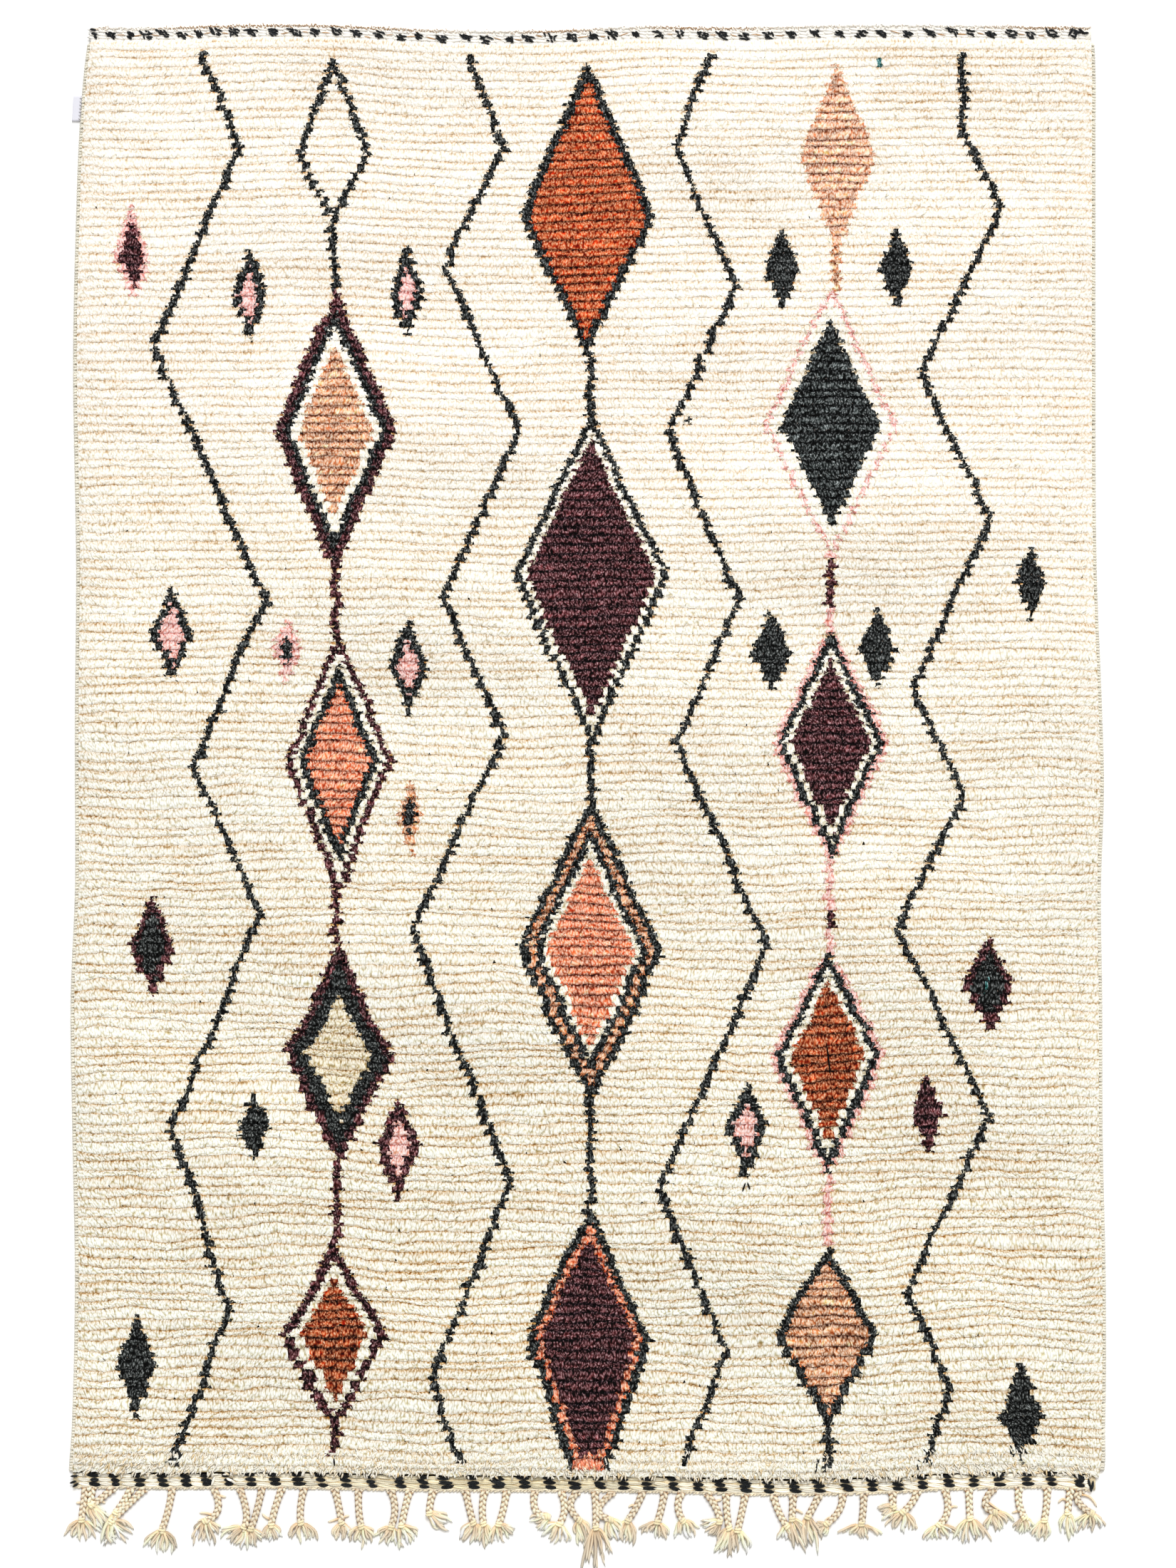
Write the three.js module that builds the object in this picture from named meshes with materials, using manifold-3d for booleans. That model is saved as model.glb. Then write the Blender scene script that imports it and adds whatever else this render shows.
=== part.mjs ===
// An azilal rug lying flat with its pile up, in millimetres.
//
// The origin is the middle of the underside. +X runs across the rug and +Y along it, to the end with the
// turned hem. The braided warp ends lie at the -Y end. +Z is up, and every piece rests on z = 0.

import * as THREE from "three";
import Module from "manifold-3d";

const wasm = await Module();
wasm.setup();

// Thicknesses and widths
const GAP = 0.3;
const GROUND_THICKNESS = 4;
const PILE_HEIGHT = 10;
const SELVEDGE_WIDTH = 6;
const SELVEDGE_HEIGHT = 6;
const TOP_BAND_WIDTH = 26;
const BOTTOM_BAND_WIDTH = 20;
const BAND_HEIGHT = 6;
const HEADING_WIDTH = 4;
const HEADING_HEIGHT = 5;
const HEADING_INSET = 2;

// A band, cord or heading is flat below, with upright sides to a share of its height and sloped shoulders
const CORD_WALL = 0.55;
const CORD_SHOULDER = 0.28;

// The two long edges at stations along the rug, softly uneven
const LONG_EDGES = [
  { along: -1212, left: -859, right: 845 },
  { along: -1194, left: -860, right: 853 },
  { along: -1106, left: -855, right: 857 },
  { along: -870, left: -850, right: 858 },
  { along: -634, left: -854, right: 853 },
  { along: -398, left: -857, right: 852 },
  { along: -221, left: -850, right: 850 },
  { along: -44, left: -850, right: 855 },
  { along: 74, left: -850, right: 852 },
  { along: 310, left: -848, right: 843 },
  { along: 664, left: -853, right: 841 },
  { along: 900, left: -848, right: 841 },
  { along: 1030, left: -843, right: 841 },
  { along: 1136, left: -835, right: 841 },
  { along: 1207, left: -826, right: 838 },
];

// The hemmed end and the braided end at stations across the rug
const HEMMED_EDGE = [
  { across: -826, along: 1212 },
  { across: -740, along: 1211 },
  { across: -570, along: 1216 },
  { across: -410, along: 1215 },
  { across: -240, along: 1207 },
  { across: -75, along: 1206 },
  { across: 90, along: 1213 },
  { across: 250, along: 1211 },
  { across: 420, along: 1215 },
  { across: 580, along: 1215 },
  { across: 750, along: 1213 },
  { across: 838, along: 1212 },
];
const BRAIDED_EDGE = [
  { across: -858, along: -1210 },
  { across: -740, along: -1212 },
  { across: -500, along: -1211 },
  { across: -310, along: -1215 },
  { across: 5, along: -1217 },
  { across: 160, along: -1219 },
  { across: 307, along: -1223 },
  { across: 500, along: -1219 },
  { across: 595, along: -1214 },
  { across: 773, along: -1211 },
  { across: 845, along: -1216 },
];

// Slow swells of the pile: height, length of one wave across and along the rug, and phase
const SWELLS = [
  { height: 0.9, across: 1900, along: 430, phase: 0.4 },
  { height: 0.7, across: -1300, along: 610, phase: 2.1 },
  { height: 0.5, across: 520, along: 900, phase: 4.0 },
];

// The pile falls away towards its edges
const EDGE_PILE_SHARE = 0.35;
const SHOULDER_REACH = 9;
const SHOULDER_LINES = [3, 10, 26];
const FIELD_COLUMNS = 22;
const FIELD_ROWS = 32;

// Warp ends, plaited in threes and knotted. Each row has where the braid leaves the rug, the steps sideways
// and down from there to its bend and knot, the step from the knot to the tuft's end, and the tuft's width.
const BRAIDS = [
  { root: -832, bend: [-4, 26], knot: [-7, 53], tuft: [-4, 32], spread: 50 },
  { root: -822, bend: [-1, 13], knot: [-2, 26], tuft: [20, 35], spread: 24 },
  { root: -786, bend: [-16, 12], knot: [-37, 28], tuft: [17, 35], spread: 20 },
  { root: -756, bend: [-13, 20], knot: [-27, 40], tuft: [-17, 45], spread: 14 },
  { root: -733, bend: [-27, 24], knot: [-57, 53], tuft: [22, 30], spread: 46 },
  { root: -689, bend: [-6, 32], knot: [-17, 68], tuft: [-5, 35], spread: 46 },
  { root: -621, bend: [8, 34], knot: [-13, 53], tuft: [2, 36], spread: 40 },
  { root: -578, bend: [12, 40], knot: [7, 65], tuft: [-18, 27], spread: 40 },
  { root: -540, bend: [-8, 34], knot: [-19, 68], tuft: [6, 27], spread: 34 },
  { root: -506, bend: [-11, 28], knot: [-19, 60], tuft: [1, 24], spread: 28 },
  { root: -470, bend: [-6, 28], knot: [-6, 56], tuft: [0, 30], spread: 46 },
  { root: -420, bend: [7, 28], knot: [12, 56], tuft: [2, 28], spread: 26 },
  { root: -380, bend: [0, 30], knot: [4, 60], tuft: [1, 28], spread: 40 },
  { root: -328, bend: [8, 28], knot: [2, 60], tuft: [-9, 28], spread: 32 },
  { root: -295, bend: [-8, 28], knot: [-14, 58], tuft: [14, 28], spread: 38 },
  { root: -256, bend: [-5, 18], knot: [-7, 36], tuft: [30, 22], spread: 22 },
  { root: -203, bend: [6, 26], knot: [13, 52], tuft: [-10, 33], spread: 30 },
  { root: -171, bend: [-4, 26], knot: [-2, 54], tuft: [-2, 30], spread: 26 },
  { root: -135, bend: [-5, 28], knot: [-13, 54], tuft: [10, 23], spread: 46 },
  { root: -88, bend: [1, 30], knot: [21, 41], tuft: [-20, 14], spread: 22 },
  { root: -45, bend: [6, 28], knot: [-2, 53], tuft: [-12, 26], spread: 42 },
  { root: -15, bend: [-14, 22], knot: [1, 47], tuft: [11, 38], spread: 24 },
  { root: 11, bend: [2, 28], knot: [2, 58], tuft: [5, 60], spread: 46 },
  { root: 45, bend: [-27, 28], knot: [-8, 45], tuft: [12, 32], spread: 30 },
  { root: 91, bend: [-11, 24], knot: [-25, 46], tuft: [-1, 35], spread: 26 },
  { root: 127, bend: [-5, 24], knot: [-12, 48], tuft: [-6, 26], spread: 44 },
  { root: 157, bend: [-8, 20], knot: [0, 45], tuft: [5, 25], spread: 36 },
  { root: 196, bend: [18, 27], knot: [22, 46], tuft: [-24, 14], spread: 30 },
  { root: 229, bend: [1, 28], knot: [5, 56], tuft: [-11, 38], spread: 26 },
  { root: 261, bend: [-6, 28], knot: [-13, 58], tuft: [2, 37], spread: 34 },
  { root: 307, bend: [8, 24], knot: [22, 50], tuft: [0, 25], spread: 26 },
  { root: 340, bend: [-1, 20], knot: [-2, 38], tuft: [19, 44], spread: 28 },
  { root: 384, bend: [-10, 18], knot: [-20, 36], tuft: [9, 47], spread: 28 },
  { root: 422, bend: [-6, 26], knot: [-27, 48], tuft: [-15, 14], spread: 20 },
  { root: 457, bend: [-1, 25], knot: [-4, 50], tuft: [-2, 22], spread: 54 },
  { root: 505, bend: [0, 12], knot: [1, 22], tuft: [-19, 12], spread: 24 },
  { root: 546, bend: [-9, 18], knot: [-24, 33], tuft: [-7, 30], spread: 50 },
  { root: 591, bend: [5, 33], knot: [-9, 57], tuft: [2, 24], spread: 54 },
  { root: 631, bend: [1, 24], knot: [2, 48], tuft: [0, 38], spread: 48 },
  { root: 675, bend: [-17, 24], knot: [-1, 39], tuft: [11, 27], spread: 40 },
  { root: 715, bend: [-1, 24], knot: [9, 49], tuft: [-2, 25], spread: 26 },
  { root: 761, bend: [-1, 26], knot: [-5, 53], tuft: [-7, 34], spread: 26 },
  { root: 800, bend: [-3, 20], knot: [-5, 40], tuft: [0, 33], spread: 24 },
  { root: 820, bend: [-9, 16], knot: [14, 38], tuft: [0, 28], spread: 40 },
];
const BRAID = { width: 12, height: 8 };
const BRAID_STATIONS = [0, 0.35, 0.75];
const KNOT = { width: 16, height: 11 };
const TUFT_MIDDLE = { share: 0.4, spread: 0.7 };
const TUFT_END_HEIGHT = 4;
const TUFT_START = -0.1;
const BAR_TOP = 0.6;

// The small sewn-on tab, blank, beyond the left edge
const LABEL = { low: 1055, high: 1097, reach: 14, clearance: 0.6, thickness: 1.2 };

// A smooth curve through a table: one column as a function of another
function curveThrough(table, from, to) {
  const positions = table.map((row) => row[from]);
  const values = table.map((row) => row[to]);
  const curve = new THREE.CubicInterpolant(positions, values, 1);
  return (place) => curve.evaluate(place)[0];
}

const leftEdge = curveThrough(LONG_EDGES, "along", "left");
const rightEdge = curveThrough(LONG_EDGES, "along", "right");
const hemmedEdge = curveThrough(HEMMED_EDGE, "across", "along");
const braidedEdge = curveThrough(BRAIDED_EDGE, "across", "along");

// A list of count + 1 even steps from one value to another
function evenSteps(from, to, count) {
  return Array.from({ length: count + 1 }, (_, step) => THREE.MathUtils.lerp(from, to, step / count));
}

// Six times the volume that triangles close in: below nothing when their faces point inwards
function signedVolume(points, triangles) {
  const sum = (total, [a, b, c]) => total + points[a].dot(points[b].clone().cross(points[c]));
  return triangles.reduce(sum, 0);
}

// Points and triangles of one closed surface, with its faces turned outwards
function turnedOut(points, triangles) {
  const inward = signedVolume(points, triangles) < 0;
  return { points, triangles: inward ? triangles.map(([a, b, c]) => [a, c, b]) : triangles };
}

function asGeometry({ points, triangles }) {
  const geometry = new THREE.BufferGeometry().setFromPoints(points);
  geometry.setIndex(triangles.flat());
  geometry.computeVertexNormals();
  return geometry;
}

// A closed surface through rings of equally many corners, with flat ends
function throughRings(rings) {
  const corners = rings[0].length;
  const triangles = [];
  for (let ring = 0; ring + 1 < rings.length; ring += 1) {
    for (let corner = 0; corner < corners; corner += 1) {
      const here = ring * corners + corner;
      const beside = ring * corners + ((corner + 1) % corners);
      triangles.push([here, beside, here + corners], [beside, beside + corners, here + corners]);
    }
  }
  const last = (rings.length - 1) * corners;
  for (let corner = 1; corner + 1 < corners; corner += 1) {
    triangles.push([0, corner + 1, corner], [last, last + corner, last + corner + 1]);
  }
  return turnedOut(rings.flat(), triangles);
}

// Even steps with a few closer lines at each end, where the pile rounds over
function shoulderedSteps(length, count) {
  const close = SHOULDER_LINES.map((distance) => distance / length);
  const innermost = close.pop();
  const middle = evenSteps(innermost, 1 - innermost, count);
  return [0, ...close, ...middle, ...close.map((share) => 1 - share).reverse(), 1];
}

// The pile's surface: ground, then pile that thins towards the nearest edge, then the slow swells
function pileTop(across, along, distanceToEdge) {
  const share = 1 - (1 - EDGE_PILE_SHARE) * Math.exp(-distanceToEdge / SHOULDER_REACH);
  const swells = SWELLS.map((wave) => {
    const turns = across / wave.across + along / wave.along;
    return wave.height * Math.sin(2 * Math.PI * turns + wave.phase);
  });
  const pile = swells.reduce((sum, height) => sum + height, PILE_HEIGHT);
  return GROUND_THICKNESS + pile * share;
}

// The knotted field: its edges, its lines as shares of its width and length, and where two of them cross
const field = {
  left: (along) => leftEdge(along) + SELVEDGE_WIDTH + GAP,
  right: (along) => rightEdge(along) - SELVEDGE_WIDTH - GAP,
  low: (across) => braidedEdge(across) + HEADING_WIDTH + BOTTOM_BAND_WIDTH + 2 * GAP,
  high: (across) => hemmedEdge(across) - TOP_BAND_WIDTH - GAP,
};
field.width = field.right(0) - field.left(0);
field.length = field.high(0) - field.low(0);
field.columns = shoulderedSteps(field.width, FIELD_COLUMNS);
field.rows = shoulderedSteps(field.length, FIELD_ROWS);
field.crossing = (row, column) => {
  const level = THREE.MathUtils.lerp(field.low(0), field.high(0), row);
  const across = THREE.MathUtils.lerp(field.left(level), field.right(level), column);
  return { across, along: THREE.MathUtils.lerp(field.low(across), field.high(across), row) };
};

function countUpTo(count) {
  return Array.from({ length: count }, (_, index) => index);
}

// The points of the pile's surface, row by row from the braided end
function pilePoints() {
  return field.rows.flatMap((row) =>
    field.columns.map((column) => {
      const { across, along } = field.crossing(row, column);
      const toSide = Math.min(column, 1 - column) * field.width;
      const toEnd = Math.min(row, 1 - row) * field.length;
      return new THREE.Vector3(across, along, pileTop(across, along, Math.min(toSide, toEnd)));
    }),
  );
}

// Two triangles for each cell of a grid of points
function gridTriangles(wide, tall) {
  return countUpTo(tall - 1).flatMap((row) =>
    countUpTo(wide - 1).flatMap((column) => {
      const here = row * wide + column;
      return [
        [here, here + 1, here + wide + 1],
        [here, here + wide + 1, here + wide],
      ];
    }),
  );
}

// The indices round the edge of a grid of points, counterclockwise from its first point
function gridRim(wide, tall) {
  const columns = countUpTo(wide - 1);
  const rows = countUpTo(tall - 1);
  return [
    ...columns,
    ...rows.map((row) => row * wide + wide - 1),
    ...columns.map((column) => tall * wide - 1 - column),
    ...rows.map((row) => (tall - 1 - row) * wide),
  ];
}

// The field's solid: the pile's surface, a wall down from its rim, and one flat underside
function knottedField() {
  const wide = field.columns.length;
  const tall = field.rows.length;
  const points = pilePoints();
  const triangles = gridTriangles(wide, tall);
  const rim = gridRim(wide, tall);
  const base = points.length;
  const outline = rim.map((index) => new THREE.Vector2(points[index].x, points[index].y));
  outline.forEach(({ x, y }) => points.push(new THREE.Vector3(x, y, 0)));
  rim.forEach((upper, step) => {
    const next = (step + 1) % rim.length;
    triangles.push([upper, base + step, base + next], [upper, base + next, rim[next]]);
  });
  for (const [a, b, c] of THREE.ShapeUtils.triangulateShape(outline, [])) {
    triangles.push([base + a, base + c, base + b]);
  }
  return turnedOut(points, triangles);
}

// A strip along an edge: at each station a profile of steps inwards from the edge and up from the floor
function strip(stations, profile) {
  return throughRings(
    stations.map(({ x, y, inX = 0, inY = 0 }) =>
      profile.map(([inwards, up]) => new THREE.Vector3(x + inX * inwards, y + inY * inwards, up)),
    ),
  );
}

// A low rounded cord's profile, flat below, between two distances from the edge
function cordProfile(outer, inner, height) {
  const wall = CORD_WALL * height;
  const shoulder = CORD_SHOULDER * (inner - outer);
  return [
    [outer, 0],
    [inner, 0],
    [inner, wall],
    [inner - shoulder, height],
    [outer + shoulder, height],
    [outer, wall],
  ];
}

// Stations along a short end, at the field's own columns and at the two corners
function endStations(edge, row, inY, inset = 0) {
  const corners = [leftEdge(edge(0)) + inset, rightEdge(edge(0)) - inset];
  const columns = field.columns.map((column) => field.crossing(row, column).across);
  return [corners[0], ...columns, corners[1]].map((x) => ({ x, y: edge(x), inY }));
}

function hemmedBand() {
  return strip(endStations(hemmedEdge, 1, -1), cordProfile(0, TOP_BAND_WIDTH, BAND_HEIGHT));
}

function braidedBand() {
  const outer = HEADING_WIDTH + GAP;
  return strip(endStations(braidedEdge, 0, 1), cordProfile(outer, outer + BOTTOM_BAND_WIDTH, BAND_HEIGHT));
}

// The overcast cord beside the field, at the field's own rows
function selvedge(column, inX) {
  const stations = field.rows.map((row) => {
    const { across, along } = field.crossing(row, column);
    return { x: across - inX * (SELVEDGE_WIDTH + GAP), y: along, inX };
  });
  return strip(stations, cordProfile(0, SELVEDGE_WIDTH, SELVEDGE_HEIGHT));
}

// The direction square to the route at one of its places
function acrossRoute(places, index) {
  const before = places[Math.max(index - 1, 0)].at;
  const after = places[Math.min(index + 1, places.length - 1)].at;
  const ahead = new THREE.Vector2().subVectors(after, before).normalize();
  return new THREE.Vector2(-ahead.y, ahead.x);
}

// A flat-bottomed bar of changing width and height through places on the floor
function bar(places) {
  const rings = places.map((place, index) => {
    const { at, width, height, side = acrossRoute(places, index) } = place;
    const corner = (sideways, up) => {
      const { x, y } = at.clone().addScaledVector(side, sideways);
      return new THREE.Vector3(x, y, up);
    };
    const foot = 0.5 * width;
    const top = BAR_TOP * foot;
    return [corner(-foot, 0), corner(foot, 0), corner(top, height), corner(-top, height)];
  });
  return throughRings(rings);
}

// One braid with its knot, and the tuft that fans out below the knot
function braid({ root, bend, knot, tuft, spread }) {
  const edge = braidedEdge(root);
  const spot = ([sideways, down]) => new THREE.Vector2(root + sideways, edge - down);
  const knotted = spot(knot);
  const end = new THREE.Vector2(knotted.x + tuft[0], knotted.y - tuft[1]);
  const below = (share) => knotted.clone().lerp(end, share);
  const route = new THREE.SplineCurve([spot([0, -0.5 * HEADING_WIDTH]), spot(bend), knotted]);
  const plait = BRAID_STATIONS.map((share) => ({ at: route.getPoint(share), ...BRAID }));
  plait[0].side = new THREE.Vector2(1, 0);
  const fan = [
    { at: below(TUFT_START), ...KNOT },
    { at: below(TUFT_MIDDLE.share), width: TUFT_MIDDLE.spread * spread, height: BRAID.height },
    { at: end, width: spread, height: TUFT_END_HEIGHT },
  ];
  return [bar([...plait, { at: knotted, ...KNOT }]), bar(fan)];
}

function asManifold({ points, triangles }) {
  const vertProperties = Float32Array.from(points.flatMap((point) => point.toArray()));
  const triVerts = Uint32Array.from(triangles.flat());
  return new wasm.Manifold(new wasm.Mesh({ numProp: 3, vertProperties, triVerts }));
}

function fromManifold(manifold) {
  const { vertProperties, triVerts } = manifold.getMesh();
  const geometry = new THREE.BufferGeometry();
  geometry.setAttribute("position", new THREE.BufferAttribute(vertProperties, 3));
  geometry.setIndex(new THREE.BufferAttribute(triVerts, 1));
  geometry.computeVertexNormals();
  return geometry;
}

// The warp ends' heading cord with every braid on it, as one comb
function fringe() {
  const stations = endStations(braidedEdge, 0, 1, HEADING_INSET);
  const heading = strip(stations, cordProfile(0, HEADING_WIDTH, HEADING_HEIGHT));
  const teeth = BRAIDS.flatMap(braid).map(asManifold);
  return fromManifold(teeth.reduce((comb, tooth) => comb.add(tooth), asManifold(heading)));
}

// The blank tab: its inner side follows the selvedge
function labelTab() {
  const { low, high, reach, clearance, thickness } = LABEL;
  const outline = new THREE.Shape([
    new THREE.Vector2(leftEdge(low) - clearance, low),
    new THREE.Vector2(leftEdge(high) - clearance, high),
    new THREE.Vector2(leftEdge(high) - reach, high),
    new THREE.Vector2(leftEdge(low) - reach, low),
  ]);
  return new THREE.ExtrudeGeometry(outline, { depth: thickness, bevelEnabled: false });
}

const wool = new THREE.MeshStandardMaterial({ color: 0xf2e7d0, roughness: 0.95 });
const twinedYarn = new THREE.MeshStandardMaterial({ color: 0xb9ab8d, roughness: 0.9 });
const edgeYarn = new THREE.MeshStandardMaterial({ color: 0xd5cdbd, roughness: 0.9 });
const warpCotton = new THREE.MeshStandardMaterial({ color: 0xe0cba4, roughness: 0.85 });
const tabRibbon = new THREE.MeshStandardMaterial({ color: 0xd9dbe2, roughness: 0.6 });

function piece(name, geometry, material) {
  const mesh = new THREE.Mesh(geometry, material);
  mesh.name = name;
  return mesh;
}

const rug = new THREE.Group();
rug.add(piece("rug_body", asGeometry(knottedField()), wool));
rug.add(piece("top_twined_edge", asGeometry(hemmedBand()), twinedYarn));
rug.add(piece("bottom_twined_edge", asGeometry(braidedBand()), twinedYarn));
rug.add(piece("left_selvedge", asGeometry(selvedge(0, 1)), edgeYarn));
rug.add(piece("right_selvedge", asGeometry(selvedge(1, -1)), edgeYarn));
rug.add(piece("fringe", fringe(), warpCotton));
rug.add(piece("label_tab", labelTab(), tabRibbon));

export default rug;
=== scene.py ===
"""An azilal rug lying flat with its pile up.

It has a knotted field with lozenge chains and zigzags, twined bands at both ends, overcast sides, braided and
knotted warp ends and a small blank tab. Sizes are in millimetres, in the frame of the fixed model: x runs
across the rug, y along it to the hemmed end, and z up. Meshes are made in metres.
"""

from collections import namedtuple

import bpy
import numpy as np
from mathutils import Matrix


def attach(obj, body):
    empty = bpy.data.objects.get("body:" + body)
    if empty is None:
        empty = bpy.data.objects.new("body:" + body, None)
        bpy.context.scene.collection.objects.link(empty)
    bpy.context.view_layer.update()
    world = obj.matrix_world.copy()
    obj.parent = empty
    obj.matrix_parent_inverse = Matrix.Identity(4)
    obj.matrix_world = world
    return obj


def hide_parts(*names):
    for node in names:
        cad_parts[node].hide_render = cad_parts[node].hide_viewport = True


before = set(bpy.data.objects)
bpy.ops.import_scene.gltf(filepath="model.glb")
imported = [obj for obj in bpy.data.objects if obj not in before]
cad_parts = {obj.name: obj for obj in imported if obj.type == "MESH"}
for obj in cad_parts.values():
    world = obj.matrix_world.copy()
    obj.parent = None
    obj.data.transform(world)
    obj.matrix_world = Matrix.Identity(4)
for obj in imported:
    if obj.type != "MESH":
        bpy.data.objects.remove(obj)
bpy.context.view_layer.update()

MM = 0.001
UP = np.array([0.0, 0.0, 1.0])


def table(columns, rows):
    """A short table as an array with named columns."""
    return np.array(rows, dtype=[(name, float) for name in columns.split()])


# Widths and heights, as in the fixed model
GAP = 0.3
GROUND_THICKNESS = 4.0
SELVEDGE_WIDTH = 6.0
TOP_BAND_WIDTH = 26.0
BOTTOM_BAND_WIDTH = 20.0
HEADING_WIDTH = 4.0

# The edges, softly uneven
LONG_EDGES = table("along left right", [
    (-1212, -859, 845), (-1194, -860, 853), (-1106, -855, 857), (-870, -850, 858), (-634, -854, 853),
    (-398, -857, 852), (-221, -850, 850), (-44, -850, 855), (74, -850, 852), (310, -848, 843),
    (664, -853, 841), (900, -848, 841), (1030, -843, 841), (1136, -835, 841), (1207, -826, 838),
])
HEMMED_EDGE = table("across along", [
    (-826, 1212), (-740, 1211), (-570, 1216), (-410, 1215), (-240, 1207), (-75, 1206),
    (90, 1213), (250, 1211), (420, 1215), (580, 1215), (750, 1213), (838, 1212),
])
BRAIDED_EDGE = table("across along", [
    (-858, -1210), (-740, -1212), (-500, -1211), (-310, -1215), (5, -1217), (160, -1219),
    (307, -1223), (500, -1219), (595, -1214), (773, -1211), (845, -1216),
])

# Slow swells of the pile: height, length of one wave across and along the rug, and phase
SWELLS = table("height across along phase", [
    (0.9, 1900, 430, 0.4), (0.7, -1300, 610, 2.1), (0.5, 520, 900, 4.0),
])

# Knots, how much wider apart their rows are at the braided end, the strips that the pile is made in, and how
# much of the pile's height is left at the very edge and how far in it is full
KNOT_ROWS = 156
KNOT_COLUMNS = 424
ROW_SPREAD = 0.045
PILE_STRIPS = 5
EDGE_PILE_SHARE = 0.6
SHOULDER_REACH = 7.0

# One row of pile seen from the side: lines over its surface from the crease below it up the rug. Each has a
# distance along the rug, a height over the floor, its painted light in pile as it was cut and in trodden
# pile:
# how far its colour is from the root's painted shade to the tip's, which paints the crease dark and the crest
# bright; how far the ends there flare out sideways over a knot of another dye, how much streaks along the row
# change that painted light, and how much nearer to the root's painted shade it is in an uneven dye
ROLL = table("along height light trodden_light flare streak relief", [
    (0.0, 11.1, 0.50, 0.10, 2.0, 0.15, 1.5), (-0.2, 11.8, 0.72, 0.58, 3.2, 0.17, 0.8),
    (4.2, 12.6, 0.98, 1.0, 1.0, 0.04, -0.1), (8.4, 12.4, 0.95, 0.96, -1.0, 0.05, 0.1),
    (12.4, 11.9, 0.74, 0.72, -2.0, 0.16, 0.9),
])

# The numbers of the line at the front of the roll and of the one along its top
NOSE = 1
CREST = 2

# How far up the row its knots are tied, the width of row that the distances above are for, and the height
# of the first line where the crease has closed up with its painted light, lighter there as less shade falls
# in a closed crease
ROLL_ROOT = 12.5
ROLL_PITCH = 15.3
CLOSED_HEIGHT = 11.7
CLOSED_LIGHT = 0.75

# The last rows at the braided end: how far up the field they begin, how pale the painted shade of their
# creases is, and over what length that fades out up the rug
LAST_ROW_REACH = 3.4
LAST_ROW_LIGHT = 0.95
LAST_ROW_FADE = 26.0

# How far a point of the surface is put off its place: across and along the rug in an even dye and how much
# more in an uneven one, and up in pile as it was cut and how much more in trodden pile and in an uneven dye
OFF_ACROSS = (0.45, 0.8)
OFF_ALONG = (0.5, 1.2)
OFF_UP = (0.3, 0.2)
OFF_UP_UNEVEN = 0.8

# Over what distance from the field's edges the pile takes up its full unevenness, the least width of a row,
# and how far and how high the surface ends over the band at the hemmed end
INNER_REACH = 40.0
LEAST_ROW_WIDTH = 8.0
HEM_OVERHANG = 3.0
HEM_OVERHANG_HEIGHT = 5.2

# How trodden the pile is: where along the rug that begins, over what length it grows to the full, and over
# what width it would fall from full to nothing
TRODDEN_FROM = 500.0
TRODDEN_LENGTH = 1400.0
TRODDEN_WIDTH = 12000.0

# How far a crease strays from its row, in pile as it was cut and how much more in trodden pile: in slow
# waves, in waves from row to row, by itself and from knot to knot. Then the steps where an end falls over it.
SLOW_STRAY = (1.6, 2.6)
SHORT_STRAY = (0.5, 1.0)
OWN_STRAY = (0.9, 0.5)
KNOT_STRAY = (0.35, 0.05)
CREASE_STEP = 0.5

# How far the pile leans, in radians, and how far into the field that reaches: inwards beside the long edges
# and outwards at the corners of the braided end, in full from CORNER_ACROSS outwards. Then its lean in slow
# waves, and the lean of a few knots together and of each by itself, as cut and how much more when trodden.
SIDE_LEAN = 0.55
SIDE_LEAN_REACH = 45.0
CORNER_LEAN = 0.85
CORNER_LEAN_REACH = 90.0
CORNER_ACROSS = 800.0
SLOW_LEAN = 0.13
CLUMP_LEAN = (0.05, 0.05)
OWN_LEAN = (0.12, 0.06)

# Yarn as shown on a screen: at the tips of the pile, and a painted shade for the creases down at its roots,
# darker and deeper than the yarn; then how unevenly it took the dye. The last is the lint that lies on the
# dark dyes.
Dye = namedtuple("Dye", "tip root uneven")
DYES = {
    "cream": Dye((252, 250, 243), (206, 163, 98), 0.03),
    "ecru": Dye((238, 229, 208), (184, 146, 94), 0.06),
    "white": Dye((255, 252, 244), (190, 172, 140), 0.03),
    "charcoal": Dye((52, 55, 55), (8, 9, 10), 0.46),
    "slate": Dye((63, 68, 68), (7, 8, 9), 0.72),
    "burgundy": Dye((93, 53, 57), (20, 8, 13), 0.56),
    "rust": Dye((213, 114, 71), (62, 20, 8), 0.34),
    "brick": Dye((187, 101, 63), (50, 16, 7), 0.40),
    "peach": Dye((240, 189, 156), (96, 46, 24), 0.32),
    "blush": Dye((254, 207, 178), (120, 64, 38), 0.29),
    "coral": Dye((251, 170, 138), (94, 32, 18), 0.30),
    "pink": Dye((250, 210, 205), (196, 132, 128), 0.16),
    "teal": Dye((96, 150, 150), (40, 80, 84), 0.25),
    "lint": Dye((170, 160, 158), (170, 160, 158), 0.5),
}
DYE_NAMES = list(DYES)

# What a colour is multiplied by in trodden pile and, in any pile, the painted tan shade in the dips between
# the ends
TRODDEN_TINT = np.array([0.897, 0.91, 0.877])
PAINTED_DIP_SHADE = (0.76, 0.62, 0.39, 1)

# Knots of another dye that strayed into the field: place, half width and half height
Fleck = namedtuple("Fleck", "across along half_width half_height dye")
FLECKS = [
    Fleck(169, 558, 4, 7, "charcoal"), Fleck(484, 1150, 4, 6, "teal"), Fleck(664, -378, 3, 7, "teal"),
]

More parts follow.
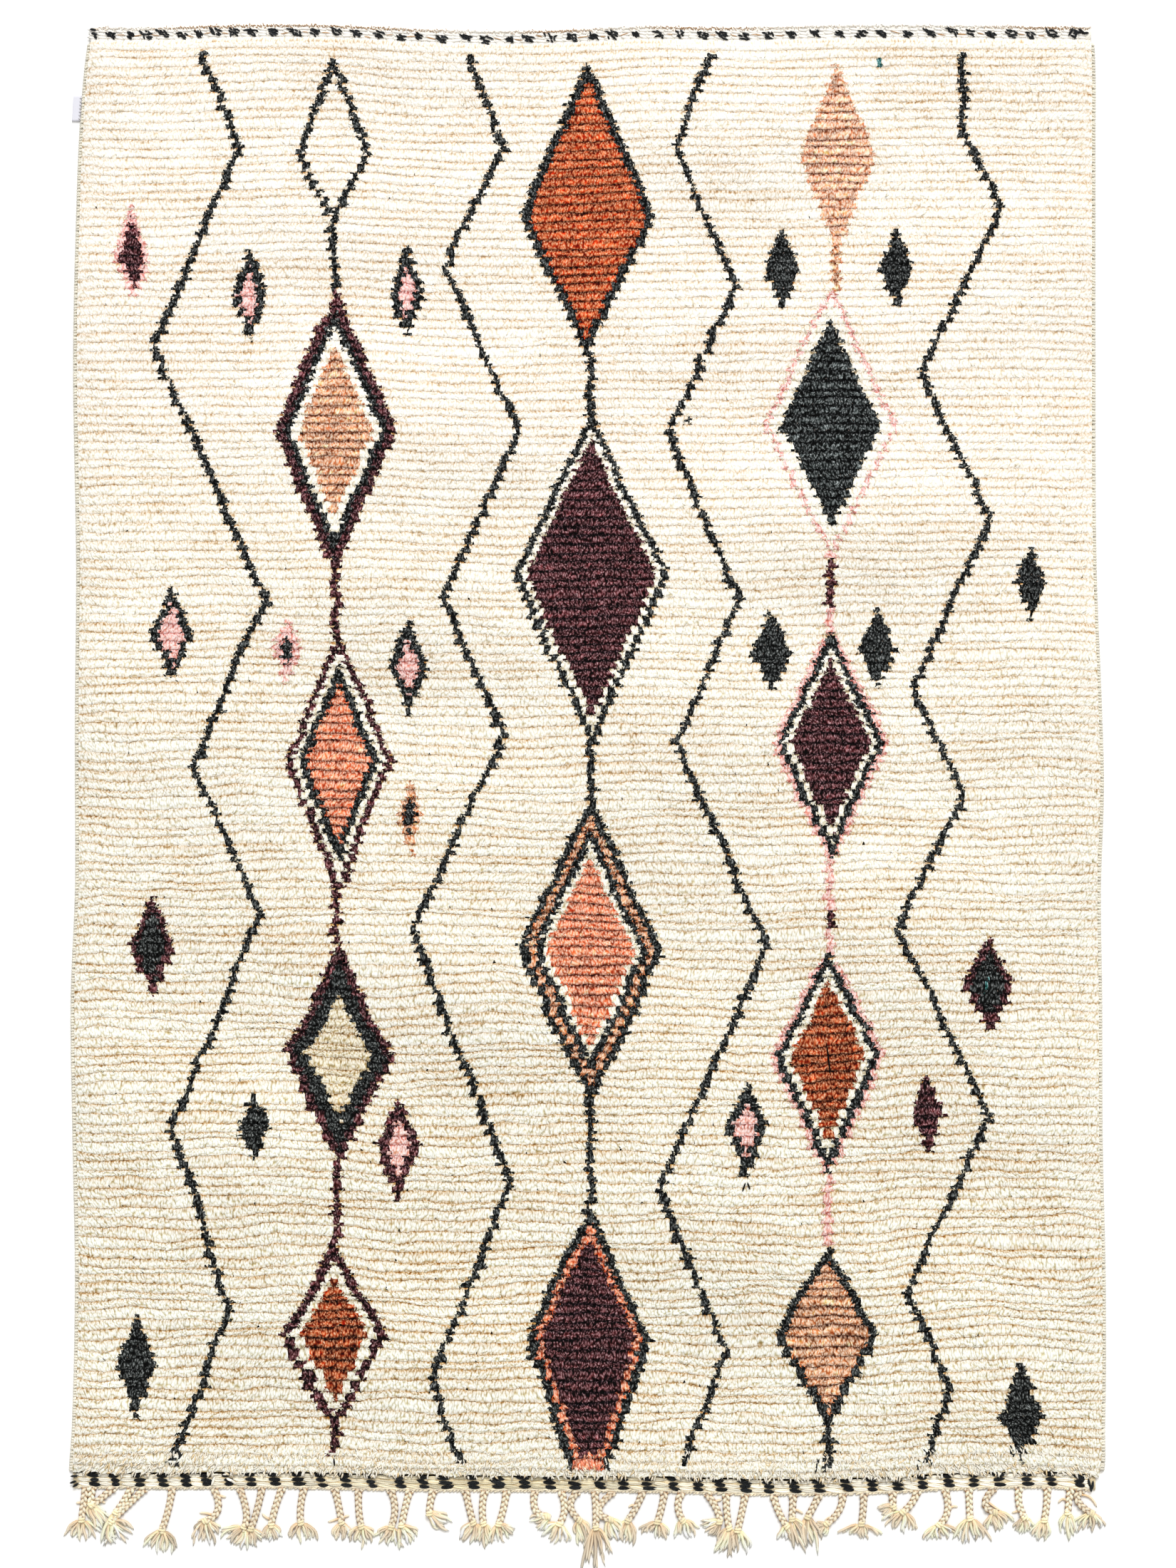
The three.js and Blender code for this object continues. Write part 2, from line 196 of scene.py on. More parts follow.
# Threads that lie loose on the pile: their height, then for each its middle, its length and its turn from the
# line across the rug
THREAD_HEIGHT = 13.4
Thread = namedtuple("Thread", "across along length turn dye")
THREADS = [
    Thread(398, -499, 58, 97, "charcoal"), Thread(258, -711, 16, 70, "charcoal"),
    Thread(266, -709, 13, 110, "charcoal"), Thread(-420, -1166, 14, 95, "burgundy"),
]

# The braided end's band: rows of floats, with their distance from the edge and their shift across the rug,
# half the length of a dark float, and the middle and reach of the stretch where the pale floats are duller
FLOAT_ROWS = table("inwards shift", [(7.6, 1.6), (14.9, 0.0), (22.2, -1.6)])
DARK_FLOAT = 11.2
OLIVE_MIDDLE = -150.0
OLIVE_REACH = 330.0

# Where the dark blocks of that band lie: the number of a block, and its place across the rug
BLOCKS = table("number across", [(0, -817), (9, -484), (19, -63), (29, 343), (40, 812)])

# The hemmed end's band: ragged spots of short slanted dark ends over rows of pale floats. SPOTS says where
# some of the spots lie, SPOT_ENDS where the ends of one spot lie, and PALE_ROWS how far in each pale row is.
SPOTS = table("number across", [(0, -793), (9, -522), (19, -170), (29, 185), (39, 569), (45, 767)])
SPOT_ENDS = table("across inwards", [
    (-6.8, 10.4), (-3.8, 11.4), (-0.8, 10.6), (2.4, 11.8), (5.4, 12.8), (-5.0, 14.2),
    (-1.8, 14.6), (1.4, 15.2), (4.6, 16.2), (-3.6, 18.0), (0.4, 18.6), (4.0, 19.6),
])
SPOT_MIDDLE = 15.0
PALE_ROWS = (8.6, 13.6, 18.6, 23.6)
PALE_PITCH = 14.0

# Dark turns of yarn bound round the corners: middle, distance from the end, length and turn
CORNER_TURNS = table("across inwards length turn", [
    (833, 5, 15, 96), (836, 10, 17, 84), (830, 14, 15, 100),
    (-849, 5, 13, 35), (-853, 10, 13, 20), (-851, 20, 14, 4),
])
HEM_CORNER_TURNS = table("across inwards length turn", [
    (800, 10, 17, 60), (806, 8, 18, -20), (812, 11, 19, 10), (808, 15, 16, 75), (818, 9, 15, -40),
    (824, 12, 13, 5), (804, 18, 12, -30), (-820, 6, 12, -8), (-818, 13, 12, -15), (-816, 18, 9, -60),
])
LOOSE_TURNS = table("across inwards length turn", [
    (-621, 13, 19, 72), (-588, 12, 15, -40), (-594, 15, 12, -25),
])

# The tab's two ends along the left edge, its reach beyond the edge and its thickness
TAB_LOW = 1055.0
TAB_HIGH = 1097.0
TAB_REACH = 13.6
TAB_THICKNESS = 0.5

# Zigzag lines from the braided end up, and half their stroke's width measured across the rug
ZIGZAG_STROKE = 5.5
ZIGZAGS = [
    table("along across", [
        (-1168, -686), (-917, -592), (-620, -689), (-256, -543), (-19, -653),
        (260, -535), (680, -719), (1008, -578), (1164, -640),
    ]),
    table("along across", [
        (-1165, -211), (-1029, -258), (-706, -129), (-293, -289), (35, -142),
        (263, -241), (539, -113), (808, -238), (1008, -143), (1160, -198),
    ]),
    table("along across", [
        (-1174, 157), (-984, 228), (-719, 118), (-312, 295), (20, 148),
        (260, 249), (539, 133), (773, 244), (1008, 145), (1160, 203),
    ]),
    table("along across", [
        (-1174, 558), (-1042, 599), (-893, 527), (-594, 663), (-290, 512), (-58, 621),
        (110, 537), (398, 666), (634, 551), (911, 686), (1031, 621), (1164, 620),
    ]),
]

# Upright lines that join the lozenges of a chain
Stem = namedtuple("Stem", "across high low dye")
STEM_STROKE = 6.0
STEMS = [
    Stem(-421, 880, 768, "charcoal"), Stem(-418, 310, 197, "burgundy"), Stem(-418, -224, -315, "burgundy"),
    Stem(-417, -674, -805, "burgundy"), Stem(-420, -1100, -1155, "burgundy"),
    Stem(4, 672, 564, "charcoal"), Stem(6, 30, -76, "charcoal"), Stem(4, -565, -740, "charcoal"),
    Stem(411, 845, 773, "peach"), Stem(403, 334, 326, "pink"), Stem(403, 326, 242, "burgundy"),
    Stem(401, 242, 205, "pink"), Stem(400, -160, -254, "pink"), Stem(400, -254, -293, "burgundy"),
    Stem(400, -293, -329, "pink"), Stem(397, -683, -806, "pink"), Stem(398, -1095, -1180, "charcoal"),
]

# Lozenges: middle, top, widest level, bottom and half the width, then the rings from the outside in with
# their widths across the rug, and the fill. A halo is a pink ring outside the lozenge that fades out at its
# tips. The last of the middle chain is cut off by the last dyed row, with a short row of coral at its foot.
LAST_DYED_ROW = -1180.0
HALO_FADE = 30.0
Lozenge = namedtuple("Lozenge", "across high widest low half rings fill")
LOZENGES = [
    Lozenge(-421, 1156, 997, 877, 60, "charcoal 12", "cream"),
    Lozenge(-419, 768, 540, 304, 101, "burgundy 16, charcoal 11, white 14", "peach"),
    Lozenge(-413, 200, -5, -234, 86, "burgundy 12, white 10, charcoal 14", "coral"),
    Lozenge(-413, -312, -491, -677, 89, "burgundy 14, charcoal 24", "ecru"),
    Lozenge(-420, -806, -966, -1115, 86, "burgundy 17, white 15", "brick"),
    Lozenge(-1, 1148, 897, 668, 110, "charcoal 15", "rust"),
    Lozenge(5, 565, 301, 16, 127, "charcoal 12, white 10", "burgundy"),
    Lozenge(4, -66, -321, -578, 119, "charcoal 14, peach 11, charcoal 13, white 10", "coral"),
    Lozenge(1, -740, -970, -1272, 102, "charcoal 14, coral 11", "burgundy"),
    Lozenge(1, -1156, -1170, -1190, 27, "", "coral"),
    Lozenge(413, 1144, 992, 843, 60, "", "blush"),
    Lozenge(402, 773, 546, 332, 109, "pink 7, white 20", "slate"),
    Lozenge(401, 205, 21, -168, 85, "halo 9, charcoal 12, white 9", "burgundy"),
    Lozenge(397, -331, -494, -688, 84, "halo 9, charcoal 13, white 11", "brick"),
    Lozenge(396, -806, -961, -1106, 84, "charcoal 15", "peach"),
    Lozenge(-755, 908, 827, 755, 28, "pink 9", "burgundy"),
    Lozenge(-559, 838, 762, 695, 27, "charcoal 13", "pink"),
    Lozenge(-301, 839, 767, 700, 27, "charcoal 13", "pink"),
    Lozenge(-690, 275, 201, 124, 34, "charcoal 14", "pink"),
    Lozenge(-297, 223, 144, 72, 32, "charcoal 15", "pink"),
    Lozenge(262, -542, -620, -696, 31, "charcoal 15", "pink"),
    Lozenge(-498, 227, 178, 125, 23, "pink 13", "charcoal"),
    Lozenge(-294, -44, -100, -154, 17, "peach 8", "charcoal"),
    Lozenge(-721, -236, -319, -396, 37, "burgundy 13", "charcoal"),
    Lozenge(664, -304, -378, -452, 40, "burgundy 14", "charcoal"),
    Lozenge(-314, -566, -642, -730, 34, "burgundy 17", "pink"),
    Lozenge(-552, -564, -614, -674, 24, "", "charcoal"),
    Lozenge(-747, -936, -1011, -1086, 32, "", "charcoal"),
    Lozenge(321, 872, 808, 742, 27, "", "charcoal"),
    Lozenge(511, 872, 809, 742, 26, "", "charcoal"),
    Lozenge(303, 238, 176, 109, 33, "", "charcoal"),
    Lozenge(479, 238, 182, 119, 29, "", "charcoal"),
    Lozenge(733, 345, 285, 226, 22, "", "charcoal"),
    Lozenge(716, -1008, -1088, -1166, 35, "", "charcoal"),
    Lozenge(562, -533, -592, -651, 24, "", "burgundy"),
]

# Warp ends, plaited in threes and knotted: where each braid leaves the rug, the steps sideways and down from
# there to its bend and knot, the step from the knot to the tuft's end, and the tuft's width
BRAIDS = table("root bend_x bend_down knot_x knot_down tuft_x tuft_down spread", [
    (-832, -4, 26, -7, 53, -4, 32, 50), (-822, -1, 13, -2, 26, 20, 35, 24),
    (-786, -16, 12, -37, 28, 17, 35, 20), (-756, -13, 20, -27, 40, -17, 45, 14),
    (-733, -27, 24, -57, 53, 22, 30, 46), (-689, -6, 32, -17, 68, -5, 35, 46),
    (-621, 8, 34, -13, 53, 2, 36, 40), (-578, 12, 40, 7, 65, -18, 27, 40),
    (-540, -8, 34, -19, 68, 6, 27, 34), (-506, -11, 28, -19, 60, 1, 24, 28),
    (-470, -6, 28, -6, 56, 0, 30, 46), (-420, 7, 28, 12, 56, 2, 28, 26),
    (-380, 0, 30, 4, 60, 1, 28, 40), (-328, 8, 28, 2, 60, -9, 28, 32),
    (-295, -8, 28, -14, 58, 14, 28, 38), (-256, -5, 18, -7, 36, 30, 22, 22),
    (-203, 6, 26, 13, 52, -10, 33, 30), (-171, -4, 26, -2, 54, -2, 30, 26),
    (-135, -5, 28, -13, 54, 10, 23, 46), (-88, 1, 30, 21, 41, -20, 14, 22),
    (-45, 6, 28, -2, 53, -12, 26, 42), (-15, -14, 22, 1, 47, 11, 38, 24),
    (11, 2, 28, 2, 58, 5, 60, 46), (45, -27, 28, -8, 45, 12, 32, 30),
    (91, -11, 24, -25, 46, -1, 35, 26), (127, -5, 24, -12, 48, -6, 26, 44),
    (157, -8, 20, 0, 45, 5, 25, 36), (196, 18, 27, 22, 46, -24, 14, 30),
    (229, 1, 28, 5, 56, -11, 38, 26), (261, -6, 28, -13, 58, 2, 37, 34),
    (307, 8, 24, 22, 50, 0, 25, 26), (340, -1, 20, -2, 38, 19, 44, 28),
    (384, -10, 18, -20, 36, 9, 47, 28), (422, -6, 26, -27, 48, -15, 14, 20),
    (457, -1, 25, -4, 50, -2, 22, 54), (505, 0, 12, 1, 22, -19, 12, 24),
    (546, -9, 18, -24, 33, -7, 30, 50), (591, 5, 33, -9, 57, 2, 24, 54),
    (631, 1, 24, 2, 48, 0, 38, 48), (675, -17, 24, -1, 39, 11, 27, 40),
    (715, -1, 24, 9, 49, -2, 25, 26), (761, -1, 26, -5, 53, -7, 34, 26),
    (800, -3, 20, -5, 40, 0, 33, 24), (820, -9, 16, 14, 38, 0, 28, 40),
])


def smooth_curve(points, values):
    """A smooth curve through a table's points: cubic pieces whose slope at a point is the mean of the
    straight slopes on its two sides. Past its ends the curve keeps its last value."""
    slope = np.diff(values) / np.diff(points)
    tangent = np.concatenate([slope[:1], 0.5 * (slope[1:] + slope[:-1]), slope[-1:]])

    def curve(place):
        """The curve's value at a place."""
        place = np.clip(place, points[0], points[-1])
        piece = np.clip(np.searchsorted(points, place) - 1, 0, len(points) - 2)
        width = points[piece + 1] - points[piece]
        t = (place - points[piece]) / width
        return (
            (1 + 2 * t) * (1 - t) ** 2 * values[piece]
            + t * (1 - t) ** 2 * width * tangent[piece]
            + t**2 * (3 - 2 * t) * values[piece + 1]
            - t**2 * (1 - t) * width * tangent[piece + 1]
        )

    return curve


left_edge = smooth_curve(LONG_EDGES["along"], LONG_EDGES["left"])
right_edge = smooth_curve(LONG_EDGES["along"], LONG_EDGES["right"])
hemmed_edge = smooth_curve(HEMMED_EDGE["across"], HEMMED_EDGE["along"])
braided_edge = smooth_curve(BRAIDED_EDGE["across"], BRAIDED_EDGE["along"])


def field_left(along):
    """The knotted field's left edge: beside the overcast one."""
    return left_edge(along) + SELVEDGE_WIDTH + GAP


def field_right(along):
    """The knotted field's right edge: beside the overcast one."""
    return right_edge(along) - SELVEDGE_WIDTH - GAP


def field_low(across):
    """The knotted field's edge above the heading and the band at the braided end."""
    return braided_edge(across) + HEADING_WIDTH + BOTTOM_BAND_WIDTH + 2 * GAP


def field_high(across):
    """The knotted field's edge below the band at the hemmed end."""
    return hemmed_edge(across) - TOP_BAND_WIDTH - GAP


FIELD_WIDTH = field_right(0.0) - field_left(0.0)
FIELD_LENGTH = field_high(0.0) - field_low(0.0)


def mix(start, end, share):
    """A value between two others: the start plus a share of the way to the end."""
    return start + (end - start) * share


def spread_rows(share):
    """Rows of knots lie a little wider apart at the braided end than at the hemmed end."""
    return share * (1 + ROW_SPREAD * (1 - share))


def field_place(column, row):
    """A place on the knotted field: column and row are shares of its width and length, from the left and
    from the braided end, bent to the edges."""
    level = mix(field_low(0.0), field_high(0.0), row)
    across = mix(field_left(level), field_right(level), column)
    return across, mix(field_low(across), field_high(across), row)


def worn(across, along):
    """How trodden the pile is: not at the hemmed end, most at the braided end, and more on the left."""
    return np.clip((TRODDEN_FROM - along) / TRODDEN_LENGTH - across / TRODDEN_WIDTH, 0, 1)


def grown(amounts, share):
    """The first amount plus a share of the second one."""
    return amounts[0] + amounts[1] * share


def swells(across, along):
    """How far the slow waves lift the pile: a sum of sines, each by its own length across and along."""
    lift = 0.0
    for wave in SWELLS:
        turns = across / wave["across"] + along / wave["along"]
        lift = lift + wave["height"] * np.sin(2 * np.pi * turns + wave["phase"])
    return lift


def unit(vectors):
    """Vectors divided by their lengths."""
    return vectors / np.maximum(np.linalg.norm(vectors, axis=-1, keepdims=True), 1e-9)


def points_of(x, y, z):
    """Three arrays of coordinates as one array of points."""
    return np.stack(np.broadcast_arrays(x, y, z), axis=-1).astype(float)


def linear(colour):
    """A screen colour from 0 to 255 as linear light."""
    share = np.asarray(colour, float) / 255
    return np.where(share <= 0.04045, share / 12.92, ((share + 0.055) / 1.055) ** 2.4)


# The dyes' tip colours, their roots' painted crease shades and their unevenness, as arrays
TIPS = linear([dye.tip for dye in DYES.values()])
PAINTED_ROOT_SHADES = linear([dye.root for dye in DYES.values()])
UNEVEN = np.array([dye.uneven for dye in DYES.values()])


def dye_number(name):
    """The place of a dye in DYES."""
    return DYE_NAMES.index(name)


def drift(rng, shape, reach):
    """Noise that changes softly along its last axis: white noise averaged over reach neighbours on each
    side, with a spread of one."""
    noise = rng.standard_normal(shape)
    soft = sum(np.roll(noise, step, axis=-1) for step in range(-reach, reach + 1))
    return soft / np.sqrt(2 * reach + 1)


def waves(across, along, rng, count, shortest, longest):
    """Soft noise over the rug with values of about one: a sum of plane waves of random direction, length
    and phase."""
    total = 0.0
    for _ in range(count):
        length = rng.uniform(shortest, longest)
        turn = rng.uniform(0, 2 * np.pi)
        phase = rng.uniform(0, 2 * np.pi)
        step = (across * np.cos(turn) + along * np.sin(turn)) / length
        total = total + np.sin(2 * np.pi * step + phase)
    return total * np.sqrt(2 / count)


# Short strands with pointed ends: half width and half height, points along and round them, the height of
# their bow, and how strong the painted shade is that deepens their dye underneath. Stray ends and locks vary
# in width and height.
Strand = namedtuple("Strand", "half_width half_height stations sides bow valley")
STRAY_END = Strand(1.2, 0.9, 3, 3, 0.4, 0.8)
LOCK = Strand(1.8, 1.1, 4, 3, 0.5, 1.8)
BAND_TURN = Strand(2.2, 1.8, 6, 5, 1.0, 0.8)
HEM_STITCH = Strand(1.0, 0.7, 3, 3, 0.3, 0.8)
HEM_FLOAT = Strand(3.4, 0.8, 5, 4, 0.3, 0.1)
HEM_THREAD = Strand(0.8, 0.7, 5, 4, 0.6, 0.3)
SPOT_END = Strand(1.6, 1.1, 5, 4, 0.8, 0.8)
HEADING_STRAND = Strand(1.9, 1.9, 5, 4, 0.4, 1.8)
LOOSE_THREAD = Strand(1.5, 1.4, 12, 5, 1.0, 0.8)
TAB_STITCH = Strand(0.9, 0.7, 6, 5, 0.8, 0.8)

Yarns = namedtuple("Yarns", "points triangles owner cell real colour")


def yarn_corners(stations, sides):
    """The triangles of one closed yarn: the first and last station are single points, and each station
    between is a ring. Returns point numbers, and the station and side that each corner is read at."""
    number = np.zeros((stations, sides + 1), int)
    rings = np.arange(stations - 2)[:, None]
    number[1:-1] = 1 + rings * sides + np.arange(sides + 1) % sides
    number[-1] = 1 + (stations - 2) * sides
    station, side = np.mgrid[0 : stations - 1, 0:sides]
    fore = [(station, side), (station + 1, side), (station + 1, side + 1)]
    back = [(station, side), (station + 1, side + 1), (station, side + 1)]
    read = []
    for part in range(2):
        kept_fore = np.stack([corner[part][:-1] for corner in fore], -1).reshape(-1, 3)
        kept_back = np.stack([corner[part][1:] for corner in back], -1).reshape(-1, 3)
        read.append(np.concatenate([kept_fore, kept_back]))
    return number[read[0], read[1]], read[0], read[1]


def spin(path, side, half_width, half_height, sides, colour, rng, valley=0.0):
    """Closed yarns along paths of (yarn, station). A ring's point is the path's point, plus the cosine of
    its angle times half_width along side, plus the sine times half_height along the path's normal. The
    first and last station close to a point. colour is per station. Underneath, a painted shade raises it to a
    power that grows with the shade's strength, as dye looks deeper where light bounces from yarn to yarn."""
    count, stations = path.shape[:2]
    side = np.broadcast_to(side, path.shape)
    normal = unit(np.cross(np.gradient(path, axis=1), side))
    angle = 0.5 * np.pi + 2 * np.pi / sides * (1 - np.arange(sides))
    wide = np.broadcast_to(half_width, (count, stations))[:, 1:-1, None, None]
    high = np.broadcast_to(half_height, (count, stations))[:, 1:-1, None, None]
    ring = (
        path[:, 1:-1, None]
        + np.cos(angle)[:, None] * wide * side[:, 1:-1, None]
        + np.sin(angle)[:, None] * high * normal[:, 1:-1, None]
    )
    points = np.concatenate([path[:, :1], ring.reshape(count, -1, 3), path[:, -1:]], axis=1)
    colour = np.broadcast_to(colour, path.shape)
    depth = 1 + valley * 0.5 * (1 - np.sin(angle))
    rings = (colour[:, 1:-1, None] ** depth[:, None]).reshape(count, -1, 3)
    colours = np.concatenate([colour[:, :1], rings, colour[:, -1:]], axis=1)

    number, station, turn = yarn_corners(stations, sides)
    first = np.arange(count)[:, None, None] * points.shape[1]
    step = np.linalg.norm(np.diff(path, axis=1), axis=-1)
    along = np.concatenate([np.zeros((count, 1)), np.cumsum(step, axis=1)], axis=1)
    girth = np.pi * (wide.max(axis=(1, 2, 3)) + high.max(axis=(1, 2, 3)))
    shift = rng.uniform(0, 400, (2, count, 1, 1))
    real = np.stack([
        turn / sides * girth[:, None, None] + shift[0],
        along[:, station] + shift[1],
    ], axis=-1)
    cell = np.stack([turn / sides, station / (stations - 1)], axis=-1)
    return Yarns(
        points=points.reshape(-1, 3),
        triangles=(number + first).reshape(-1, 3),
        owner=np.repeat(np.arange(count), len(number)),
        cell=np.tile(cell, (count, 1, 1)),
        real=real.reshape(-1, 3, 2),
        colour=colours.reshape(-1, 3),
    )


def joined(parts):
    """Several lots of yarns as one lot, whose numbers of points and owners run on from lot to lot."""
    points_before = np.cumsum([0] + [len(part.points) for part in parts[:-1]])
    owners_before = np.cumsum([0] + [part.owner.max() + 1 for part in parts[:-1]])
    moved = [
        part._replace(triangles=part.triangles + first_point, owner=part.owner + first_owner)
        for part, first_point, first_owner in zip(parts, points_before, owners_before)
    ]
    return Yarns(*[np.concatenate(values) for values in zip(*moved)])


def mesh_object(name, points, faces, material):
    """A smooth mesh from points in millimetres and faces that all have the same number of corners."""
    mesh = bpy.data.meshes.new(name)
    mesh.vertices.add(len(points))
    mesh.vertices.foreach_set("co", (points * MM).astype(np.float32).ravel())
    mesh.loops.add(faces.size)
    mesh.loops.foreach_set("vertex_index", faces.astype(np.int32).ravel())
    mesh.polygons.add(len(faces))
    mesh.polygons.foreach_set("loop_start", np.arange(0, faces.size, faces.shape[1], dtype=np.int32))
    mesh.update(calc_edges=True)
    mesh.shade_smooth()
    mesh.materials.append(material)
    piece = bpy.data.objects.new(name, mesh)
    bpy.context.scene.collection.objects.link(piece)
    return piece


def add_map(mesh, name, corners):
    """A map of the mesh, from a place for each corner of each face."""
    mesh.uv_layers.new(name=name).data.foreach_set("uv", corners.astype(np.float32).ravel())


def add_colour(mesh, colour, shade=1.0):
    """The dye of each point, or of each corner of each face, with any painted shade in it, and the strength
    of the pile's painted tan shade between the ends.
    """
    domain = "POINT" if len(colour) == len(mesh.vertices) else "CORNER"
    layer = mesh.color_attributes.new("Dye", "FLOAT_COLOR", domain)
    with_shade = np.concatenate([colour, np.broadcast_to(shade, (len(colour), 1))], axis=1)
    layer.data.foreach_set("color", with_shade.astype(np.float32).ravel())


# A yarn's cell in the map for baking: how many times as long as wide it is, and the margin left round it
CELL_SHAPE = 2.6
CELL_MARGIN = 0.06


def yarn_piece(name, yarns, material):
    """A piece of many yarns. Its Yarn map is in millimetres, round and along each yarn, and the map for
    baking gives each yarn a cell of its own."""
    piece = mesh_object(name, yarns.points, yarns.triangles, material)
    wide = int(np.ceil(np.sqrt((yarns.owner.max() + 1) * CELL_SHAPE)))
    tall = int(np.ceil((yarns.owner.max() + 1) / wide))
    inside = CELL_MARGIN + (1 - 2 * CELL_MARGIN) * yarns.cell
    corner = np.stack([yarns.owner % wide, yarns.owner // wide], axis=-1)[:, None]
    add_map(piece.data, "Yarn", yarns.real)
    add_map(piece.data, "OFBake", (corner + inside) / [wide, tall])
    add_colour(piece.data, yarns.colour)
    return piece


def floor_side(path):
    """The level direction square to each path."""
    return unit(np.cross(UP, np.gradient(path, axis=1)))


# The least power that a streak or a raised end raises the dye to, and the height where a cut end has the
# colour of the dye itself, below which the dips between ends are painted darker as shade
LEAST_POWER = 0.3
LEAST_END_POWER = 0.35
END_TOP = 0.86


def new_group(name, inputs, outputs):
    """An empty node group with named sockets, its nodes and links, and its input and output nodes."""
    group = bpy.data.node_groups.new(name, "ShaderNodeTree")
    for socket, kind in inputs.items():
        group.interface.new_socket(socket, in_out="INPUT", socket_type="NodeSocket" + kind)
    for socket, kind in outputs.items():
        group.interface.new_socket(socket, in_out="OUTPUT", socket_type="NodeSocket" + kind)
    return group, group.nodes.new("NodeGroupInput"), group.nodes.new("NodeGroupOutput")


def give(tree, value, socket):
    """A plain number or another node's output for a node's input."""
    if isinstance(value, (int, float)):
        socket.default_value = value
    else:
        tree.links.new(value, socket)


def calculate(tree, operation, *values):
    """A Math node on sockets or plain numbers. Returns its output socket."""
    node = tree.nodes.new("ShaderNodeMath")
    node.operation = operation
    for socket, value in zip(node.inputs, values):
        give(tree, value, socket)
    return node.outputs[0]


def map_place(group, name):
    """The two coordinates of a piece's own map."""
    place = group.nodes.new("ShaderNodeUVMap")
    place.uv_map = name
    split = group.nodes.new("ShaderNodeSeparateXYZ")
    group.links.new(place.outputs["UV"], split.inputs["Vector"])
    return split.outputs["X"], split.outputs["Y"]


def level_place(group, x, y):
    """Two coordinates as one vector."""
    place = group.nodes.new("ShaderNodeCombineXYZ")
    group.links.new(x, place.inputs["X"])
    group.links.new(y, place.inputs["Y"])
    return place.outputs["Vector"]


def soft_noise(group, place, dimensions, scale, detail, roughness=0.5):
    """Noise between 0 and 1 over a vector. Returns its output socket."""
    noise = group.nodes.new("ShaderNodeTexNoise")
    noise.noise_dimensions = dimensions
    noise.inputs["Detail"].default_value = detail
    noise.inputs["Roughness"].default_value = roughness
    give(group, scale, noise.inputs["Scale"])
    group.links.new(place, noise.inputs["Vector"])
    return noise.outputs["Fac"]


def deepen(group, colour, power):
    """A colour raised to a power, which deepens a dye without greying it."""
    gamma = group.nodes.new("ShaderNodeGamma")
    group.links.new(colour, gamma.inputs["Color"])
    group.links.new(power, gamma.inputs["Gamma"])
    return gamma.outputs["Color"]


def put_out_grooves(group, given, put_out, height):
    """A group's outputs: its height, and the dye raised to a power that grows from one at the top to one plus
    Groove in the grooves, a painted shade there."""
    depth = calculate(group, "SUBTRACT", 1.0, height)
    power = calculate(group, "MULTIPLY_ADD", depth, given.outputs["Groove"], 1.0)
    group.links.new(deepen(group, given.outputs["Dye"], power), put_out.inputs["Colour"])
    group.links.new(height, put_out.inputs["Height"])


COLOUR_AND_HEIGHT = {"Colour": "Color", "Height": "Float"}


def combed_fibre_group():
    """Fibre streaks along a yarn, from its map in millimetres. A streak raises the dye to a power between
    one minus and one plus Contrast, so that it shows more in a dark dye than in a pale one."""
    group, given, put_out = new_group(
        "combed_fibre",
        {"Dye": "Color", "Contrast": "Float", "Streaks per millimetre": "Float", "Length": "Float"},
        COLOUR_AND_HEIGHT,
    )
    round_yarn, along_yarn = map_place(group, "Yarn")
    pace = given.outputs["Streaks per millimetre"]
    round_yarn = calculate(group, "MULTIPLY", round_yarn, pace)
    along_yarn = calculate(group, "MULTIPLY", along_yarn, pace)
    along_yarn = calculate(group, "DIVIDE", along_yarn, given.outputs["Length"])
    streaks = soft_noise(group, level_place(group, round_yarn, along_yarn), "2D", 1.0, 3.0, 0.6)
    swing = calculate(group, "MULTIPLY_ADD", streaks, -2.0, 1.0)
    power = calculate(group, "MULTIPLY_ADD", swing, given.outputs["Contrast"], 1.0)
    power = calculate(group, "MAXIMUM", power, LEAST_POWER)
    group.links.new(deepen(group, given.outputs["Dye"], power), put_out.inputs["Colour"])
    group.links.new(streaks, put_out.inputs["Height"])
    return group


def paint_dip_shade(group, colour, share):
    """A colour times a painted tan shade, which goes from white to the dips' full painted shade by a share.
    """
    tint = group.nodes.new("ShaderNodeMix")
    tint.data_type = "RGBA"
    tint.inputs["A"].default_value = (1, 1, 1, 1)
    tint.inputs["B"].default_value = PAINTED_DIP_SHADE
    group.links.new(share, tint.inputs["Factor"])
    product = group.nodes.new("ShaderNodeMix")
    product.data_type = "RGBA"
    product.blend_type = "MULTIPLY"
    product.inputs["Factor"].default_value = 1.0
    group.links.new(colour, product.inputs["A"])
    group.links.new(tint.outputs["Result"], product.inputs["B"])
    return product.outputs["Result"]


